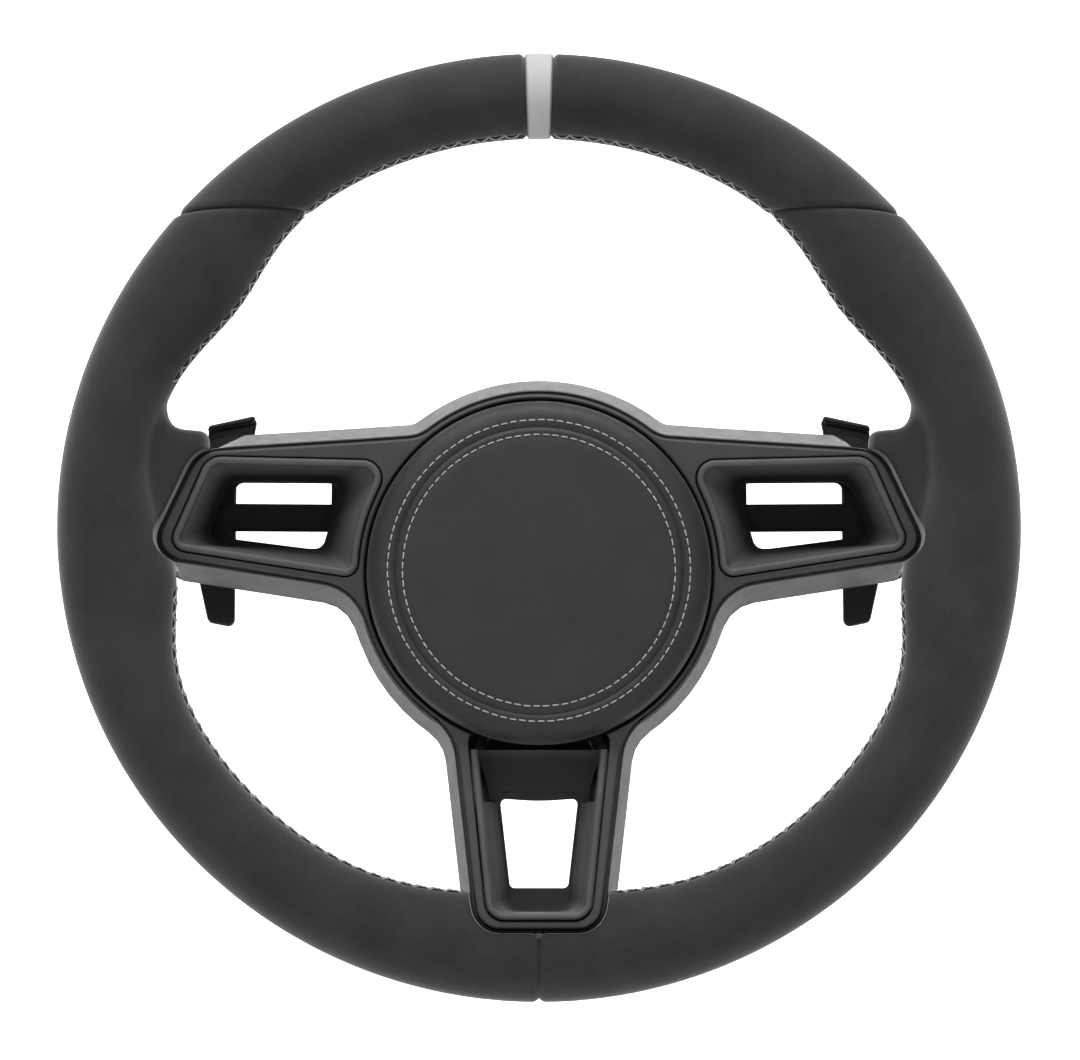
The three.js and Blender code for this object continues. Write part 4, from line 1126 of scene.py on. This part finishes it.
def press_seams(bm):
    """Rolls the hide in along its seams, puckers it beside the stitches, and marks where painted shade
    darkens it: in its creases, beside the stitches and in the frame's shadow.
    """
    crease_shade = bm.verts.layers.float.new("crease_shade")
    bm.normal_update()
    moves = []
    for vertex in bm.verts:
        x, y, _ = local(vertex.co)
        folds = panel_folds(x, y)
        depth = max([fold(*each) for each in folds], default=0)
        # painted shade in the seam creases
        dark = max([1 - distance / SEAM_SHADE_WIDTH for distance, _, _ in folds], default=0)
        _, index, distance = seam_tree.find(vertex.co)
        clock, distance = seam[index][0], distance / MM
        if stitched(clock) and distance < 4:
            depth = max(depth, fold(distance, 2.0, 0.9))
            pucker = 0.5 + 0.5 * math.cos(2 * math.pi * math.radians(clock) * RIM_INNER / (2 * STITCH_PITCH))
            depth += 0.35 * pucker * fold(distance, 4.0, 1.0)
            # painted shade beside the stitches
            dark = max(dark, 0.8 * (1 - distance / 2.2))
        # painted shadow of the frame on the hide
        if abs(x) > HEM_SHADOW_START or y < 0:
            dark = max(dark, 0.8 * (1 - hem_tree.find((x, y, 0))[2] / HEM_SHADOW))
        vertex[crease_shade] = max(dark, 0)
        if depth:
            moves.append((vertex, vertex.normal * depth * MM))
    for vertex, move in moves:
        vertex.co -= move


def slice_seams(bm):
    """Adds edge loops along each panel seam, so that it can be folded in and split."""
    tangent = math.tan(math.radians(MARKER_ANGLE))
    planes = [((0, 0, SEAM_HEIGHT), (0, 0, 1), lambda c: c.z > 0.05)]
    for side in (-1, 1):
        normal = Vector((side, 0, -tangent)).normalized()
        planes.append(((0, 0, 0), normal, lambda c, s=side: c.z > 0.05 and c.x * s > 0))
    planes.append(((0, 0, 0), (1, 0, 0), lambda c: c.z < -0.05))
    for point, normal, inside in planes:
        normal = Vector(normal)
        for offset in (-1.4, -0.7, -0.3, 0, 0.3, 0.7, 1.4):
            on = (Vector(point) + normal * offset) * MM
            faces = []
            for face in bm.faces:
                centre = face.calc_center_median()
                if inside(centre) and abs((centre - on).dot(normal)) < SLICED * MM:
                    faces.append(face)
            edges = {e for f in faces for e in f.edges}
            vertices = {v for f in faces for v in f.verts}
            geometry = [*vertices, *edges, *faces]
            bmesh.ops.bisect_plane(bm, geom=geometry, dist=2e-5, plane_co=on, plane_no=normal)


def panel_of(centre):
    x, y, _ = local(centre)
    if y > 0 and abs(x) < math.tan(math.radians(MARKER_ANGLE)) * y:
        return "centre_marker_band"
    side = "left" if x < 0 else "right"
    return f"{side}_upper_wrap" if y > SEAM_HEIGHT else f"{side}_side_wrap"


def wraps():
    bm = bmesh.new()
    bm.from_mesh(solid.data)
    slice_seams(bm)
    press_seams(bm)
    crease_shade = bm.verts.layers.float["crease_shade"]
    panels = {}
    for face in bm.faces:
        panels.setdefault(panel_of(face.calc_center_median()), []).append(face)
    made = {}
    for name in sorted(panels):
        used, faces = {}, []
        vertices, crease_shades = [], []
        for face in panels[name]:
            corners = []
            for vertex in face.verts:
                if vertex.index not in used:
                    used[vertex.index] = len(vertices)
                    vertices.append(vertex.co.copy())
                    crease_shades.append(vertex[crease_shade])
                corners.append(used[vertex.index])
            faces.append(corners)
        mesh = bpy.data.meshes.new(name + "_piece")
        mesh.from_pydata(vertices, [], faces)
        # each panel keeps its painted shade values
        mesh.attributes.new("crease_shade", "FLOAT", "POINT").data.foreach_set("value", crease_shades)
        thing = bpy.data.objects.new(name + "_piece", mesh)
        bpy.context.scene.collection.objects.link(thing)
        thick = thing.modifiers.new("hide", "SOLIDIFY")
        thick.thickness = HIDE * MM
        thick.offset = -1
        settle(thing)
        made[name] = smooth(thing, 60)
    bm.free()
    return made


def rim_stitches():
    """A zigzag of thread over the stitched seam, held just clear of the hide."""
    runs = []
    for low, high in STITCHED:
        runs.append([s for s in seam if low <= s[0] <= high])
        runs.append([s for s in seam if low <= 360 - s[0] <= high])
    parts = []
    for run in runs:
        travelled, sign = 0.0, 1
        last = run[0][1]
        marks = []
        for i, (_, point, _) in enumerate(run):
            travelled += (point - last).length / MM
            last = point
            while travelled >= STITCH_PITCH * len(marks):
                marks.append(i)
        ends = []
        for i in marks:
            _, point, normal = run[i]
            ahead = (run[min(i + 3, len(run) - 1)][1] - run[max(i - 3, 0)][1]).normalized()
            ends.append((point, normal, normal.cross(ahead).normalized(), sign))
            sign = -sign
        for (a, na, ca, sa), (b, nb, cb, sb) in zip(ends, ends[1:]):
            start = local(a + ca * sa * STITCH_REACH * MM)
            stop = local(b + cb * sb * STITCH_REACH * MM)
            up = local((na + nb).normalized() * MM)
            path = []
            for s in range(8):
                share = s / 7
                lift = 0.22 - 0.7 * abs(2 * share - 1) ** 6
                path.append(start.lerp(stop, share) + up * lift)
            parts.append(tube(path, 0.26))
            if sa > 0:
                slip = (b - a) * 0.62
                base = local(b + slip * 0.3 - cb * STITCH_REACH * 0.9 * MM)
                tip = local(b + slip * 1.4 - cb * STITCH_REACH * 1.35 * MM)
                path = [base.lerp(tip, s / 5) + up * (0.2 - 0.6 * abs(s / 2.5 - 1) ** 4) for s in range(6)]
                parts.append(tube(path, 0.24))
    return smooth(gathered("rim_stitches", parts), 60)


hem = frame_outline(0.09)
hem_tree = kdtree.KDTree(6 * len(hem))
for index, corner in enumerate(hem):
    for part in range(6):
        hem_tree.insert((*between(corner, hem[(index + 1) % len(hem)], part / 6), 0), 6 * index + part)
hem_tree.balance()

stitches = rim_stitches()
for name, wrap in wraps().items():
    marker = name == "centre_marker_band"
    piece(wrap, "wheel", MARKER if marker else SUEDE, "marker_suede" if marker else "suede", name)
piece(stitches, "wheel", THREAD, "suede")
foam = combine(copied("rim_foam"), [inset(solid, HIDE + 0.3)], "INTERSECT")
piece(foam, "wheel", FOAM, "foam", "rim_foam")

bpy.data.objects.remove(solid)

# ------------------------------------------------------------------ springs


def spring(name):
    """A coil from its CAD node, shaded smooth, in steel, with a mesh of its own."""
    thing = piece(smooth(copied(name), 50), "wheel", STEEL, "steel", name)
    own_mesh(thing)


for number in (1, 2, 3):
    spring(f"horn_spring_{number}")
for side in ("left", "right"):
    spring(f"{side}_return_spring")

# ------------------------------------------------------------------ CAD nodes that stay

for entry in frame["record"]["subparts"]:
    node = frame["nodes"][entry["node"]]
    if node.hide_render:
        continue
    node.data.materials.clear()
    node.data.materials.append(PAINTS[entry["material_slot"]])
    node.data.polygons.foreach_set("use_smooth", [True] * len(node.data.polygons))
    node.data.set_sharp_from_angle(angle=math.radians(35))

# ------------------------------------------------------------------ camera, light and setting

TILT = math.radians(6.2)
DISTANCE = 1300.0
IMAGE_WIDTH = 1080.0
FOCAL = 3477.5  # in widths of a pixel of the full image
SENSOR = 36.0
SHIFT = (1.0, -8.5)  # in pixels of the full image

camera_data = bpy.data.cameras.new("camera")
camera_data.sensor_width = SENSOR
camera_data.lens = FOCAL / IMAGE_WIDTH * SENSOR
camera_data.shift_x, camera_data.shift_y = (shift / IMAGE_WIDTH for shift in SHIFT)
camera = bpy.data.objects.new("camera", camera_data)
target = place(0, 0, RIM_PLANE)
aim = Vector((0, math.cos(TILT), math.sin(TILT)))
camera.location = target - aim * DISTANCE * MM
camera.rotation_euler = aim.to_track_quat("-Z", "Y").to_euler()
bpy.context.scene.collection.objects.link(camera)
bpy.context.scene.camera = camera


def area_light(name, where, size, power, aim_at=(0, -0.07, 0)):
    data = bpy.data.lights.new(name, "AREA")
    data.shape = "RECTANGLE"
    data.size, data.size_y = size
    data.energy = power
    lamp = bpy.data.objects.new(name, data)
    lamp.location = where
    lamp.rotation_euler = (Vector(aim_at) - Vector(where)).to_track_quat("-Z", "Y").to_euler()
    bpy.context.scene.collection.objects.link(lamp)


area_light("key", (-0.25, -1.7, 1.0), (1.8, 0.9), 28)
area_light("top", (0.0, -0.5, 1.3), (1.8, 0.5), 41)
area_light("backdrop", (0.0, 1.0, 1.5), (3.0, 0.6), 75, (0.0, 1.9, 1.2))

world = bpy.data.worlds.new("studio")
world.use_nodes = True
world.node_tree.nodes["Background"].inputs["Color"].default_value = (1, 1, 1, 1)
world.node_tree.nodes["Background"].inputs["Strength"].default_value = 0.30
bpy.context.scene.world = world
bpy.context.scene.view_settings.view_transform = "Standard"


def pale(name):
    paint = Paint(name)
    paint.colour((0.90, 0.90, 0.90), (0.93, 0.93, 0.93), paint.mapped(paint.noise(300, 2), 0, 1))
    paint.set(Roughness=0.9, Specular_IOR_Level=0.1)
    return paint.material


def sweep():
    """A pale floor that curves up into a backdrop."""
    floor_z, wall_y, bend, half = -0.34, 1.9, 0.5, 3.0
    profile = [(-3.0, floor_z)]
    for s in range(13):
        turn = math.pi / 2 * s / 12
        profile.append((wall_y - bend + bend * math.sin(turn), floor_z + bend * (1 - math.cos(turn))))
    profile.append((wall_y, 2.6))
    vertices = [(x, y, z) for x in (-half, half) for y, z in profile]
    count = len(profile)
    faces = [(i, i + 1, count + i + 1, count + i) for i in range(count - 1)]
    mesh = bpy.data.meshes.new("floor")
    mesh.from_pydata(vertices, [], faces)
    mesh.polygons.foreach_set("use_smooth", [True] * len(mesh.polygons))
    mesh.materials.append(pale("pale_floor"))
    thing = bpy.data.objects.new("floor", mesh)
    bpy.context.scene.collection.objects.link(thing)


sweep()
